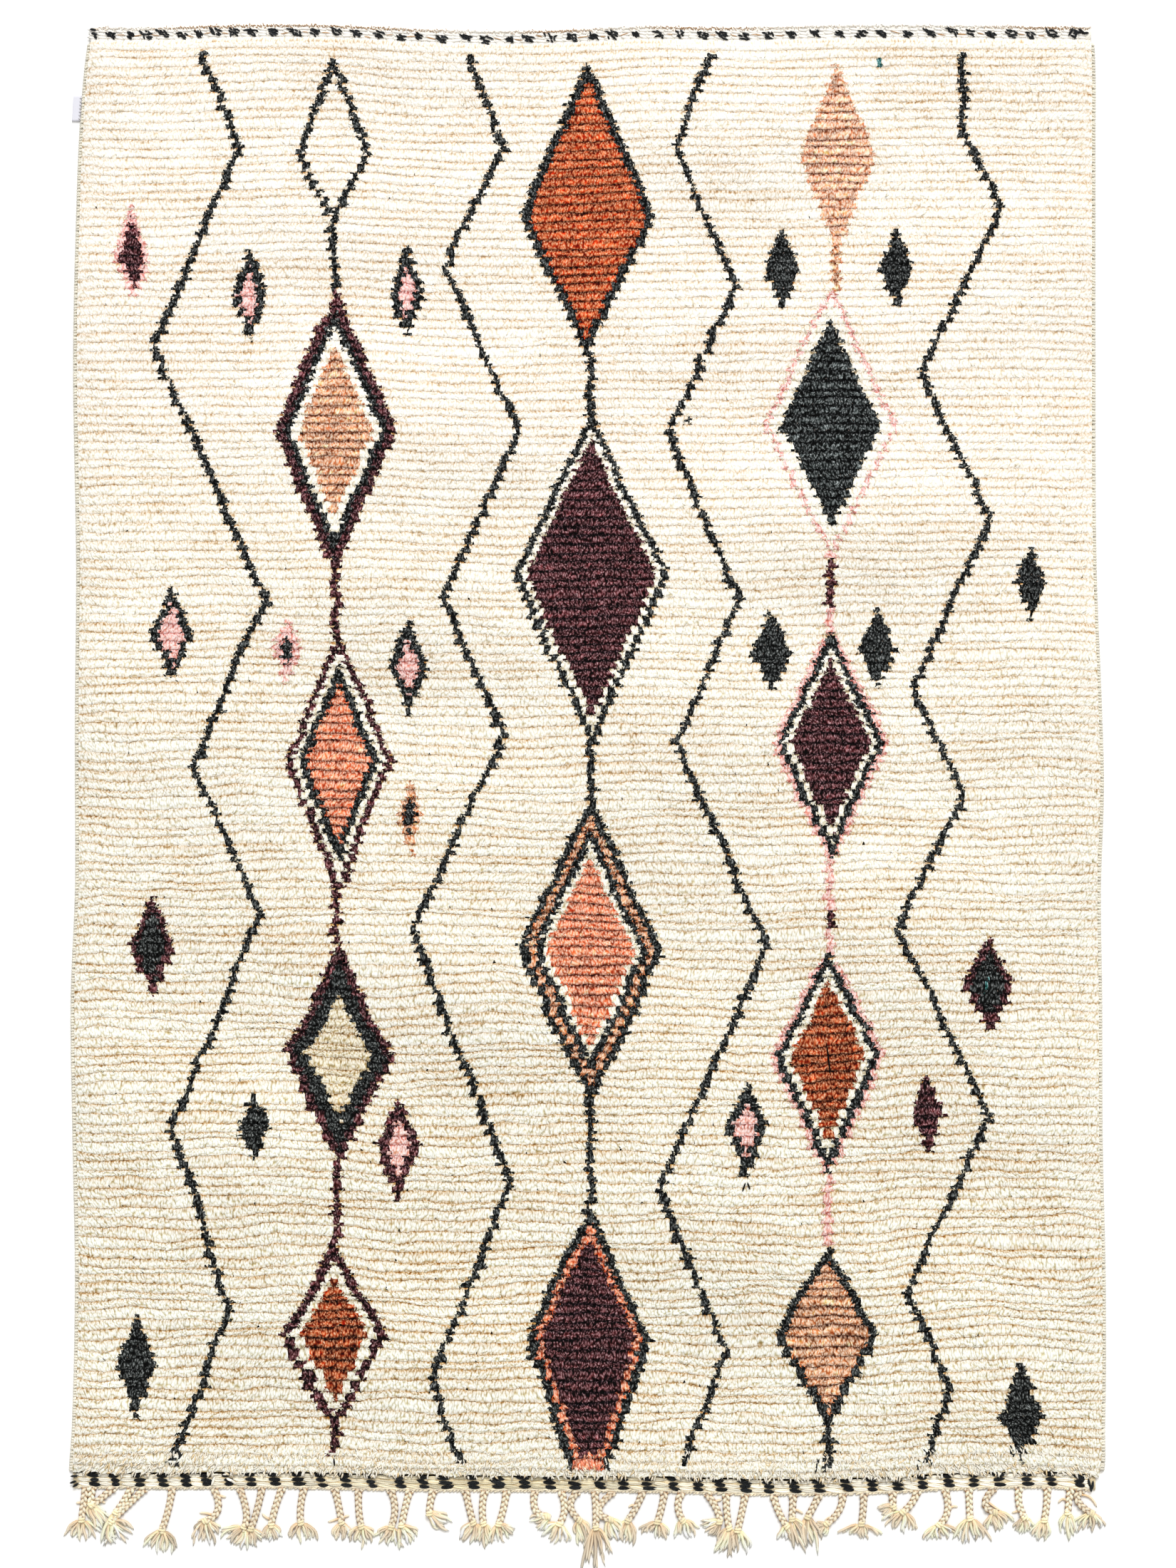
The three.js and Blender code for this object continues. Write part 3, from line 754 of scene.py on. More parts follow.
def cut_ends_group():
    """The ends of cut pile seen from above, from the Pile map in millimetres: rounded cells, each Grain wide
    and Slimness times as long, with a finer noise over them. The dips between the ends are painted in shade:
    they raise the dye to a power that grows with Contrast, which shows in a dark dye, and take a painted tan
    shade by as much as Shade, which shows in a pale one."""
    group, given, put_out = new_group(
        "cut_ends",
        {"Dye": "Color", "Grain": "Float", "Slimness": "Float", "Contrast": "Float", "Shade": "Float"},
        COLOUR_AND_HEIGHT,
    )
    across, along = map_place(group, "Pile")
    length = calculate(group, "MULTIPLY", given.outputs["Grain"], given.outputs["Slimness"])
    across = calculate(group, "DIVIDE", across, given.outputs["Grain"])
    scaled = level_place(group, across, calculate(group, "DIVIDE", along, length))
    ends = group.nodes.new("ShaderNodeTexVoronoi")
    ends.voronoi_dimensions = "2D"
    ends.feature = "F1"
    ends.inputs["Scale"].default_value = 1.0
    group.links.new(scaled, ends.inputs["Vector"])
    square = calculate(group, "MULTIPLY", ends.outputs["Distance"], ends.outputs["Distance"])
    rounded = calculate(group, "MULTIPLY_ADD", square, -1.0, 0.75)
    height = calculate(group, "MULTIPLY_ADD", soft_noise(group, scaled, "2D", 1.6, 2.0), 0.5, rounded)
    depth = calculate(group, "SUBTRACT", END_TOP, height)
    power = calculate(group, "MULTIPLY_ADD", depth, given.outputs["Contrast"], 1.0)
    power = calculate(group, "MAXIMUM", power, LEAST_END_POWER)
    dip = calculate(group, "MULTIPLY", calculate(group, "MAXIMUM", depth, 0.0), given.outputs["Shade"])
    deepened = deepen(group, given.outputs["Dye"], power)
    colour = paint_dip_shade(group, deepened, calculate(group, "MINIMUM", dip, 1.0))
    group.links.new(colour, put_out.inputs["Colour"])
    group.links.new(height, put_out.inputs["Height"])
    return group


def twisted_ply_group():
    """The plies of a twisted yarn, from its map in millimetres: a sine wave that runs slantwise round the
    yarn, one wave for each Ply length."""
    group, given, put_out = new_group(
        "twisted_ply", {"Dye": "Color", "Ply length": "Float", "Groove": "Float"}, COLOUR_AND_HEIGHT,
    )
    slant = calculate(group, "ADD", *map_place(group, "Yarn"))
    turns = calculate(group, "DIVIDE", slant, given.outputs["Ply length"])
    wave = calculate(group, "SINE", calculate(group, "MULTIPLY", turns, 2 * np.pi))
    put_out_grooves(group, given, put_out, calculate(group, "MULTIPLY_ADD", wave, 0.5, 0.5))
    return group


def plain_weave_group():
    """A plain weave seen from above, from Object coordinates in metres: the product of a sine across and a
    sine along, with Threads in each millimetre, broken up by a fine noise."""
    group, given, put_out = new_group(
        "plain_weave", {"Dye": "Color", "Threads": "Float", "Groove": "Float"}, COLOUR_AND_HEIGHT,
    )
    place = group.nodes.new("ShaderNodeTexCoord").outputs["Object"]
    split = group.nodes.new("ShaderNodeSeparateXYZ")
    group.links.new(place, split.inputs["Vector"])
    pace = calculate(group, "MULTIPLY", given.outputs["Threads"], np.pi / MM)
    across = calculate(group, "SINE", calculate(group, "MULTIPLY", split.outputs["X"], pace))
    along = calculate(group, "SINE", calculate(group, "MULTIPLY", split.outputs["Y"], pace))
    half_pace = calculate(group, "MULTIPLY", given.outputs["Threads"], 0.5 / MM)
    fine = soft_noise(group, place, "3D", half_pace, 3.0)
    weave = calculate(group, "MULTIPLY_ADD", calculate(group, "MULTIPLY", across, along), 0.4, 0.4)
    put_out_grooves(group, given, put_out, calculate(group, "MULTIPLY_ADD", fine, 0.3, weave))
    return group


CUT_ENDS = cut_ends_group()
COMBED_FIBRE = combed_fibre_group()
TWISTED_PLY = twisted_ply_group()
PLAIN_WEAVE = plain_weave_group()


def cloth(name, roughness, sheen):
    """A material with the dull gloss of cloth. Returns it with its node tree and its shader."""
    material = bpy.data.materials.new(name)
    material.use_nodes = True
    shader = material.node_tree.nodes["Principled BSDF"]
    shader.inputs["Roughness"].default_value = roughness
    shader.inputs["Sheen Weight"].default_value = sheen
    shader.inputs["Specular IOR Level"].default_value = 0.15
    return material, material.node_tree, shader


def placed(tree, group, **values):
    """A node group placed in a material, with its own values."""
    node = tree.nodes.new("ShaderNodeGroup")
    node.node_tree = group
    for name, value in values.items():
        node.inputs[name.replace("_", " ")].default_value = value
    return node


def raise_surface(tree, shader, height, depth, strength):
    """Bump from a height between 0 and 1, depth millimetres deep."""
    bump = tree.nodes.new("ShaderNodeBump")
    bump.inputs["Strength"].default_value = strength
    bump.inputs["Distance"].default_value = depth * MM
    tree.links.new(height, bump.inputs["Height"])
    tree.links.new(bump.outputs["Normal"], shader.inputs["Normal"])


def dye_attribute(tree):
    """The Dye of the mesh, painted shade included, with the strength of the painted tan shade as its alpha.
    """
    dye = tree.nodes.new("ShaderNodeAttribute")
    dye.attribute_name = "Dye"
    return dye.outputs["Color"], dye.outputs["Alpha"]


def pile_wool():
    """Cut wool pile: the ends of the yarn in each knot's own dye, with painted shade in the creases and in
    the dips between the ends.
    """
    material, tree, shader = cloth("pile_wool", roughness=0.95, sheen=0.0)
    dye, shade = dye_attribute(tree)
    ends = placed(tree, CUT_ENDS, Grain=3.1, Slimness=1.7, Contrast=3.0)
    tree.links.new(dye, ends.inputs["Dye"])
    tree.links.new(calculate(tree, "MULTIPLY", shade, 1.3), ends.inputs["Shade"])
    tree.links.new(ends.outputs["Colour"], shader.inputs["Base Color"])
    relief = calculate(tree, "MULTIPLY_ADD", shade, 0.5, 0.5)
    height = calculate(tree, "MULTIPLY", ends.outputs["Height"], relief)
    raise_surface(tree, shader, height, depth=1.2, strength=1.0)
    return material


def spun_yarn(name, roughness, sheen, ply_length, groove, contrast):
    """Plied yarn: fibres combed along it, then the grooves of its twist, painted in shade."""
    material, tree, shader = cloth(name, roughness, sheen)
    fibre = placed(tree, COMBED_FIBRE, Contrast=contrast, Streaks_per_millimetre=1.2, Length=5.0)
    ply = placed(tree, TWISTED_PLY, Ply_length=ply_length, Groove=groove)
    tree.links.new(dye_attribute(tree)[0], fibre.inputs["Dye"])
    tree.links.new(fibre.outputs["Colour"], ply.inputs["Dye"])
    tree.links.new(ply.outputs["Colour"], shader.inputs["Base Color"])
    height = calculate(tree, "MULTIPLY_ADD", fibre.outputs["Height"], 0.35, ply.outputs["Height"])
    raise_surface(tree, shader, height, depth=0.6, strength=0.7)
    return material


def woven_cloth(name, colour, roughness, sheen, threads, groove, depth):
    """Plain-woven cloth of one colour, with painted shade between its threads."""
    material, tree, shader = cloth(name, roughness, sheen)
    weave = placed(tree, PLAIN_WEAVE, Dye=(*linear(colour), 1), Threads=threads, Groove=groove)
    tree.links.new(weave.outputs["Colour"], shader.inputs["Base Color"])
    raise_surface(tree, shader, weave.outputs["Height"], depth, strength=0.7)
    return material


def lozenge_half(lozenge, along):
    """Half a lozenge's width at a level: it grows evenly from each tip to the widest level."""
    rising = (along - lozenge.low) / (lozenge.widest - lozenge.low)
    falling = (lozenge.high - along) / (lozenge.high - lozenge.widest)
    return np.maximum(lozenge.half * np.minimum(rising, falling), 1.0)


def rings_of(lozenge):
    """The dye and the width of each of a lozenge's rings, from the outside in."""
    rings = [ring.split() for ring in lozenge.rings.split(", ") if ring]
    return [(name, float(width)) for name, width in rings]


# How far a motif's edge wanders along a row and from line to line, how much a zigzag's stroke changes from
# row to row and its least half width, and how far a lozenge is filled out sideways and beyond its tips
ROW_WANDER = 1.8
LINE_WANDER = 0.8
STROKE_CHANGE = 0.14
LEAST_STROKE = 4.2
LOZENGE_FILL = 2.0
LOZENGE_TIP = 3.0


def knotted_dyes(rng):
    """The dye of each face of the pile's surface: cream, then the zigzags, stems, lozenges and flecks laid
    over each other. Each row is counted out by hand, so a motif's edge wanders from row to row and its
    strokes vary in width. Within a row the ends flare out at the bottom and draw in at the top."""
    column = (np.arange(KNOT_COLUMNS) + 0.5) / KNOT_COLUMNS
    row = (np.arange(KNOT_ROWS)[:, None] + 0.5) / KNOT_ROWS
    across, along = field_place(column, spread_rows(row))
    across = across + ROW_WANDER * drift(rng, across.shape, 9)
    row_width = 1 + STROKE_CHANGE * rng.standard_normal((len(ZIGZAGS), KNOT_ROWS, 1))
    across, along, row_width = [np.repeat(value, len(ROLL), axis=-2) for value in (across, along, row_width)]
    across = across + LINE_WANDER * rng.standard_normal(across.shape)
    along = along + 0.7 * (np.tile(ROLL["along"], KNOT_ROWS)[:, None] - 10)
    flare = np.tile(ROLL["flare"], KNOT_ROWS)[:, None]
    dye = np.zeros(across.shape, int)
    for zigzag, width in zip(ZIGZAGS, row_width):
        line = np.interp(along, zigzag["along"], zigzag["across"])
        stroke = np.maximum(LEAST_STROKE, ZIGZAG_STROKE * width + flare)
        inside = (along > zigzag["along"][0]) & (along < zigzag["along"][-1])
        dye[(np.abs(across - line) < stroke) & inside] = dye_number("charcoal")
    for stem in STEMS:
        stroke = np.abs(across - stem.across) < STEM_STROKE + flare
        dye[stroke & (along < stem.high) & (along > stem.low)] = dye_number(stem.dye)
    for lozenge in LOZENGES:
        depth = lozenge_half(lozenge, along) + LOZENGE_FILL + flare - np.abs(across - lozenge.across)
        to_tip = np.minimum(lozenge.high - along, along - lozenge.low)
        depth[to_tip < -LOZENGE_TIP] = -1
        for name, width in rings_of(lozenge):
            if name == "halo":
                dye[depth + width * np.clip(to_tip / HALO_FADE, 0, 1) > 0] = dye_number("pink")
                continue
            dye[depth > 0] = dye_number(name)
            depth = depth - width
        dye[depth > 0] = dye_number(lozenge.fill)
    dye[along < LAST_DYED_ROW] = dye_number("cream")
    for fleck in FLECKS:
        beside = np.abs(across - fleck.across) < fleck.half_width
        dye[beside & (np.abs(along - fleck.along) < fleck.half_height)] = dye_number(fleck.dye)
    return dye


def knot_leans(across, along, to_side, trodden, rng):
    """How far the pile leans off the rug's length, in radians: slow waves, a lean inwards beside the long
    edges, a lean outwards at the corners of the braided end, and each knot's own."""
    inwards = -np.sign(across) * SIDE_LEAN * np.exp(-to_side / SIDE_LEAN_REACH)
    low_end = np.exp(-(along - BRAIDED_EDGE["along"].mean()) / CORNER_LEAN_REACH)
    outwards = np.sign(across) * CORNER_LEAN * low_end * np.minimum(np.abs(across) / CORNER_ACROSS, 1) ** 2
    slow = SLOW_LEAN * waves(across, along, rng, 8, 90, 420)
    clump = grown(CLUMP_LEAN, trodden) * drift(rng, across.shape, 1)
    own = grown(OWN_LEAN, trodden) * rng.standard_normal(across.shape)
    return inwards + outwards + slow + clump + own


Pile = namedtuple("Pile", "points light tone lean")


def beside_knots(value):
    """The mean of a knot value over the two knots beside each line between columns."""
    wide = np.concatenate([value[:, :1], value, value[:, -1:]], axis=1)
    return 0.5 * (wide[:, 1:] + wide[:, :-1])


def crease_lines(across, along, inner, trodden, rng):
    """The creases between rows of knots, as distances along the rug: the straight rows with slow waves, waves
    from row to row, and small steps where an end of yarn falls over the crease."""
    shape = across.shape
    slow = grown(SLOW_STRAY, trodden) * waves(across, along * 2.2, rng, 10, 200, 800)
    short = grown(SHORT_STRAY, trodden) * waves(across, along * 3, rng, 12, 70, 220)
    own = grown(OWN_STRAY, trodden) * drift(rng, shape, 30)
    steps = CREASE_STEP * (drift(rng, shape, 5) + 0.5 * drift(rng, shape, 1))
    scallops = grown(KNOT_STRAY, trodden) * rng.standard_normal(shape)
    return along + inner * (slow + short + own + steps + scallops)


def crease_closing(trodden, uneven, rng):
    """How far the creases have closed up, from 0 to 1: most in pile as it was cut, less in trodden pile and
    in an uneven dye, with noise of several lengths along the row."""
    closed = 0.8 - 0.8 * trodden - 4.0 * uneven
    for reach, depth in ((0, 0.3), (2, 0.25), (8, 0.25), (30, 0.15)):
        closed = closed + depth * drift(rng, trodden.shape, reach)
    return np.clip(closed, 0, 1)


def row_streaks(trodden, rng):
    """Streaks along the rows that change the painted crease shade, with a value of about one: noise of three
    lengths.
    """
    lots = [share * drift(rng, trodden.shape, reach) for share, reach in ((0.6, 30), (0.6, 10), (0.4, 3))]
    return (0.6 + 0.4 * trodden) * sum(lots)


def line_light(number, trodden, closed, streak, uneven, to_low_end):
    """The painted light of one of ROLL's lines: how far its colour is from the root's painted shade to the
    tip's.
    A closed crease is painted lighter, and the first lines of the last rows are painted paler still."""
    line = ROLL[number]
    light = mix(line["light"], line["trodden_light"], trodden)
    if number == 0:
        light = mix(light, CLOSED_LIGHT, 0.4 * closed)
    light = light + line["streak"] * streak - line["relief"] * uneven
    if number > NOSE:
        return light
    return mix(light, LAST_ROW_LIGHT, np.clip(1.8 - to_low_end / LAST_ROW_FADE, 0, 0.9))


Places = namedtuple("Places", "across along trodden to_side to_end to_low_end inner")


def line_places():
    """Where the lines between rows and between columns of knots cross: the place, how trodden the pile is,
    the distances to the nearer side, to the nearer end and to the braided end, and the share of its full
    unevenness that the pile has."""
    row, column = np.mgrid[0 : KNOT_ROWS + 1, 0 : KNOT_COLUMNS + 1]
    column_share, row_share = column / KNOT_COLUMNS, spread_rows(row / KNOT_ROWS)
    across, along = field_place(column_share, row_share)
    to_side = np.minimum(column_share, 1 - column_share) * FIELD_WIDTH
    to_end = np.minimum(row_share, 1 - row_share) * FIELD_LENGTH
    inner = np.clip(np.minimum(to_side, to_end) / INNER_REACH, 0, 1)
    return Places(across, along, worn(across, along), to_side, to_end, row_share * FIELD_LENGTH, inner)


def row_edges(places, rng):
    """Where each row of pile begins and ends along the rug: from one crease to the next, but no narrower than
    LEAST_ROW_WIDTH. The last row at the braided end begins raggedly."""
    crease = crease_lines(places.across, places.along, places.inner, places.trodden, rng)
    columns = KNOT_COLUMNS + 1
    crease[0] += LAST_ROW_REACH + 1.2 * drift(rng, columns, 3) + 0.8 * rng.standard_normal(columns)
    width = np.maximum(np.diff(crease, axis=0), LEAST_ROW_WIDTH)
    return crease[:-1], crease[:-1] + width


def pile_surface(dye, rng):
    """The pile as one surface: every row of knots has the lines of ROLL, and every line runs across the rug
    with a point between each two columns of knots. The first two lines follow the crease below the row, the
    last one follows the crease above it, and the rest share out the width between. The creases close up here
    and there. An uneven dye's ends stand more loosely, and its creases stay open."""
    places = line_places()
    low, high = row_edges(places, rng)
    across, along, trodden, to_side, to_end, to_low_end, inner = [value[:-1] for value in places]
    shape = across.shape
    uneven = beside_knots(UNEVEN[dye])
    edge_share = 1 - (1 - EDGE_PILE_SHARE) * np.exp(-np.minimum(to_side, to_end + 4) / SHOULDER_REACH)
    swell = swells(across, along)
    lean = knot_leans(across, along, to_side, trodden, rng) * np.clip(to_side / 12, 0, 1)
    closed = crease_closing(trodden, uneven, rng)
    noise = rng.standard_normal((3, len(ROLL), *shape))
    streak = row_streaks(trodden, rng)
    loose = grown(OFF_UP, trodden) + OFF_UP_UNEVEN * uneven
    points, light, tone = [], [], []
    for number, line in enumerate(ROLL):
        reach = (ROLL_ROOT - line["along"]) if number else 0.4 * ROLL_ROOT
        height = mix(line["height"], CLOSED_HEIGHT, closed) if number == 0 else line["height"]
        x = across + np.sin(lean) * reach + inner * grown(OFF_ACROSS, uneven) * noise[0, number]
        off = inner * grown(OFF_ALONG, uneven) * noise[1, number]
        middle = mix(low, high, line["along"] / ROLL_PITCH) + off
        y = (low, low + line["along"], middle, middle, high + line["along"] - ROLL_PITCH)[number]
        z = GROUND_THICKNESS + (height - GROUND_THICKNESS) * edge_share + swell * edge_share
        points.append(points_of(x, y, z + inner * loose * noise[2, number]))
        # Each line's painted light: the crease painted dark, the crest painted bright
        light.append(line_light(number, trodden, closed, streak, uneven, to_low_end))
        tone.append(0.7 * rng.standard_normal(shape) + 0.5 * drift(rng, shape, 1))
    columns = KNOT_COLUMNS + 1
    last_across, last_along = field_place(np.arange(columns) / KNOT_COLUMNS, 1.0)
    last = points_of(last_across, last_along + HEM_OVERHANG, HEM_OVERHANG_HEIGHT)[None]
    still = np.zeros((1, columns))
    # The line over the hem band has a painted light of 0.9 and no tone
    return Pile(
        points=np.concatenate([np.stack(points, axis=1).reshape(-1, *last.shape[1:]), last]),
        light=np.concatenate([np.stack(light, axis=1).reshape(-1, columns), still + 0.9]),
        tone=np.concatenate([np.stack(tone, axis=1).reshape(-1, columns), still]),
        lean=lean,
    )


def corners_of(lines):
    """The values at the four corners of each face of a grid, counted round it from its lower left corner."""
    return np.stack([lines[:-1, :-1], lines[:-1, 1:], lines[1:, 1:], lines[1:, :-1]], axis=2)


def rim_of(number):
    """The point numbers round the rim of a grid, counted round from its lower left corner."""
    return np.concatenate([number[0, :-1], number[:-1, -1], number[-1, :0:-1], number[:0:-1, 0]])


# How much the dye changes from batch to batch, and how much painted shade darkens the pile at its left and
# right edges
BATCH_CHANGE = 0.022
LEFT_PAINTED_SHADE = 0.10
RIGHT_PAINTED_SHADE = 0.04
SIDE_SHADE_REACH = 16.0
PALEST = 0.97


def knot_colours(dye, surface, rng):
    """The colour at each corner of the pile's faces: from its knot's root colour, a painted shade, to its tip
    colour by the painted light of its line, times e to the power of its unevenness times the tone there,
    times slow changes of the dye over the rug, less a painted shade along the left and right edges. Also how
    strong the painted tan shade between the ends is there."""
    tip, root, uneven = TIPS[dye][:, :, None], PAINTED_ROOT_SHADES[dye][:, :, None], UNEVEN[dye][:, :, None]
    light = corners_of(surface.light)[..., None]
    tone = corners_of(surface.tone)
    x, y = surface.points[..., 0], surface.points[..., 1]
    trodden = worn(x, y)
    batch_and_painted_edge_shade = 1 + BATCH_CHANGE * waves(x, y * 2.5, rng, 8, 100, 900)
    # Painted shade along the left and right edges of the pile, darkest at the rims
    left_painted_shade = LEFT_PAINTED_SHADE * np.exp((left_edge(y) - x) / SIDE_SHADE_REACH)
    batch_and_painted_edge_shade = batch_and_painted_edge_shade - left_painted_shade - RIGHT_PAINTED_SHADE * np.exp((x - right_edge(y)) / SIDE_SHADE_REACH)
    tint = mix(np.ones(3), TRODDEN_TINT, np.sqrt(trodden[..., None])) * batch_and_painted_edge_shade[..., None]
    # From the root's painted shade to the tip's colour by the line's painted light
    colour = mix(root, tip, np.clip(light, 0, 1.05)) * np.exp(uneven * tone)[..., None] * corners_of(tint)
    shade = (0.35 + 0.65 * corners_of(trodden)) * (0.3 + 0.7 * light[..., 0])
    return np.minimum(colour, PALEST), shade


def combed_places(rng):
    """Places in the Pile map at the corners of the pile's faces: millimetres across, each row of knots with a
    shift of its own, and along. The surface leans with its pile, so the ends drawn on it lean with it."""
    pitch = FIELD_LENGTH / KNOT_ROWS
    line = np.append((np.arange(KNOT_ROWS)[:, None] * pitch + ROLL["along"]).ravel(), FIELD_LENGTH)
    column = np.arange(KNOT_COLUMNS + 1) * FIELD_WIDTH / KNOT_COLUMNS
    across = corners_of(np.tile(column, (len(line), 1)))
    along = corners_of(np.tile(line[:, None], len(column)))
    shift = np.repeat(rng.uniform(0, 500, KNOT_ROWS), len(ROLL))
    return np.stack([across + shift[:, None, None], along], axis=-1)


# In the map for baking: how many lengths side by side a strip's surface is laid in, and the small patch
# between them that its hidden faces share
PILE_FOLDS = 3
HIDDEN_PATCH = [[0.32, 0.01], [0.32, 0.012], [0.325, 0.012], [0.325, 0.01]]


def pile_strip(name, points, colour, shade, combed, normals, material):
    """A strip of the pile as a closed shape: its surface, a wall round its rim down to the ground, and an
    underside. The Pile map is in millimetres, across and along the ends of the yarn. The map for baking lays
    the strip's length in PILE_FOLDS lengths side by side."""
    lines, columns = points.shape[:2]
    number = np.arange(lines * columns).reshape(lines, columns)
    faces = corners_of(number).reshape(-1, 4)
    rim = rim_of(number)
    low_rim = lines * columns + np.arange(len(rim))
    wall = np.stack([np.roll(rim, -1), rim, low_rim, np.roll(low_rim, -1)], axis=-1)
    middle = lines * columns + len(rim)
    fan = np.arange(0, len(rim), 2)
    ahead = [np.roll(low_rim, -step)[fan] for step in (2, 1, 0)]
    spread = np.stack([np.full(len(fan), middle), *ahead], axis=-1)
    flat = points.reshape(-1, 3)
    base = UP * 0.85 * GROUND_THICKNESS
    low_points = flat[rim] * [1, 1, 0] + base
    centre = flat.mean(axis=0) * [1, 1, 0] + base
    all_points = np.concatenate([flat, low_points, centre[None]])
    piece = mesh_object(name, all_points, np.concatenate([faces, wall, spread]), material)
    piece.data.normals_split_custom_set_from_vertices(
        np.concatenate([normals.reshape(-1, 3), np.tile(-UP, (len(rim) + 1, 1))])
    )

    line, column = np.mgrid[0:lines, 0:columns].astype(float)
    fold_length = np.ceil((lines - 1) / PILE_FOLDS)
    fold = np.floor(np.arange(lines - 1) / fold_length)[:, None, None]
    across = (fold + 0.02 + 0.93 * corners_of(column) / (columns - 1)) / PILE_FOLDS
    along = 0.01 + 0.98 * (corners_of(line) / fold_length - fold)
    top = np.stack([across, along], axis=-1).reshape(-1, 2)
    hidden = np.tile(HIDDEN_PATCH, (len(wall) + len(spread), 1))
    add_map(piece.data, "Pile", np.concatenate([combed.reshape(-1, 2), np.zeros((len(hidden), 2))]))
    add_map(piece.data, "OFBake", np.concatenate([top, hidden]))
    rim_colour = np.tile(colour.reshape(-1, 3)[:1], (len(hidden), 1))
    all_shades = np.concatenate([shade.reshape(-1, 1), np.ones((len(hidden), 1))])
    add_colour(piece.data, np.concatenate([colour.reshape(-1, 3), rim_colour]), all_shades)
    return piece


# Ends that stray from their knots: the share of the edges between two dyes that has one, the number brushed
# over the rest, the number of specks of lint on the dark dyes, and half an end's length
STRAY_SHARE = 0.75
BRUSHED_ENDS = 5600
LINT_COUNT = 900
END_LENGTH = 3.7


def stray_sideways(dye, nose, crest, rng):
    """Ends that lie over the edges between two dyes of one row, first leftwards and then rightwards: their
    middles, turns and dyes."""
    row, column = np.nonzero(dye[:, 1:] != dye[:, :-1])
    lots = []
    for sign in (-1, 1):
        kept = rng.random(len(row)) < STRAY_SHARE
        knot_row, line = row[kept], column[kept] + 1
        owner = dye[knot_row, line - 1] if sign > 0 else dye[knot_row, line]
        share = rng.random(len(line))[:, None]
        turn = np.where(sign > 0, 0, np.pi) - sign * np.radians(rng.uniform(5, 75, len(line)))
        lots.append((mix(nose[knot_row, line], crest[knot_row, line], share * 1.5), turn, owner))
    return lots


def stray_down(dye, nose, rng):
    """Ends that hang down the rug over the edges between two dyes of neighbouring rows."""
    row, column = np.nonzero(dye[1:] != dye[:-1])
    kept = rng.random(len(row)) < STRAY_SHARE
    row, column = row[kept] + 1, column[kept]
    share = rng.random(len(row))[:, None]
    turn = -0.5 * np.pi + rng.normal(0, 0.6, len(row))
    return mix(nose[row, column], nose[row, column + 1], share), turn, dye[row, column]


def brushed_over(dye, nose, crest, lean, rng):
    """Ends brushed over each other anywhere on the pile, down the rug and with its lean."""
    row = rng.integers(1, KNOT_ROWS - 1, BRUSHED_ENDS)
    column = rng.integers(1, KNOT_COLUMNS - 1, BRUSHED_ENDS)
    share = rng.random(BRUSHED_ENDS)[:, None]
    turn = -0.5 * np.pi + lean[row, column] + rng.normal(0, 0.5, BRUSHED_ENDS)
    return mix(nose[row, column], crest[row, column], share * 1.4), turn, dye[row, column]


def lint(dye, nose, crest, rng):
    """Pale specks that lie on the dark dyes, turned any way."""
    dark = np.isin(dye, [dye_number(name) for name in ("charcoal", "slate", "burgundy")])
    row, column = np.nonzero(dark[1:-1, 1:-1])
    picked = rng.choice(len(row), LINT_COUNT, replace=False)
    row, column = row[picked] + 1, column[picked] + 1
    middle = mix(nose[row, column], crest[row, column], rng.random((LINT_COUNT, 1)) * 1.4) + UP * 0.3
    return middle, rng.uniform(0, np.pi, LINT_COUNT), np.full(LINT_COUNT, dye_number("lint"))


def stray_ends(dye, surface, material, rng):
    """Ends of yarn that stray from their knots and lie on the surface in their own dye, and specks of lint,
    which are half as long, wide and high as an end."""
    step = len(ROLL)
    nose, crest = surface.points[NOSE::step], surface.points[CREST::step]
    lots = stray_sideways(dye, nose, crest, rng)
    lots.append(stray_down(dye, nose, rng))
    lots.append(brushed_over(dye, nose, crest, surface.lean, rng))
    lots.append(lint(dye, nose, crest, rng))
    middle, turn, owner = [np.concatenate(values) for values in zip(*lots)]
    trodden = worn(middle[:, :1], middle[:, 1:2])
    tint = mix(np.ones(3), TRODDEN_TINT, np.sqrt(trodden))
    colour = TIPS[owner] * tint * np.exp(0.7 * UNEVEN[owner] * rng.standard_normal(len(owner)))[:, None]
    size = np.where(owner == dye_number("lint"), 0.5, 1.0)
    length = size * (END_LENGTH + 0.9 * rng.standard_normal(len(owner)))
    end = STRAY_END._replace(half_width=STRAY_END.half_width * size, half_height=STRAY_END.half_height * size)
    return yarn_piece("stray_ends", lens(middle + UP * 0.2, length, turn, end, colour, rng), material)


# Locks of wool over the last rows: their number, half the length of one, how far up the rug they reach, the
# shade that some of the cream ones have, the height of most, and how much lower the last ones hang
LOCK_COUNT = 1500
LOCK_LENGTH = 6.0
LOCK_REACH = 46.0
LOCK_SHADE = (246, 228, 190)
LOCK_HEIGHT = 12.0
LOCK_DROP = 2.6


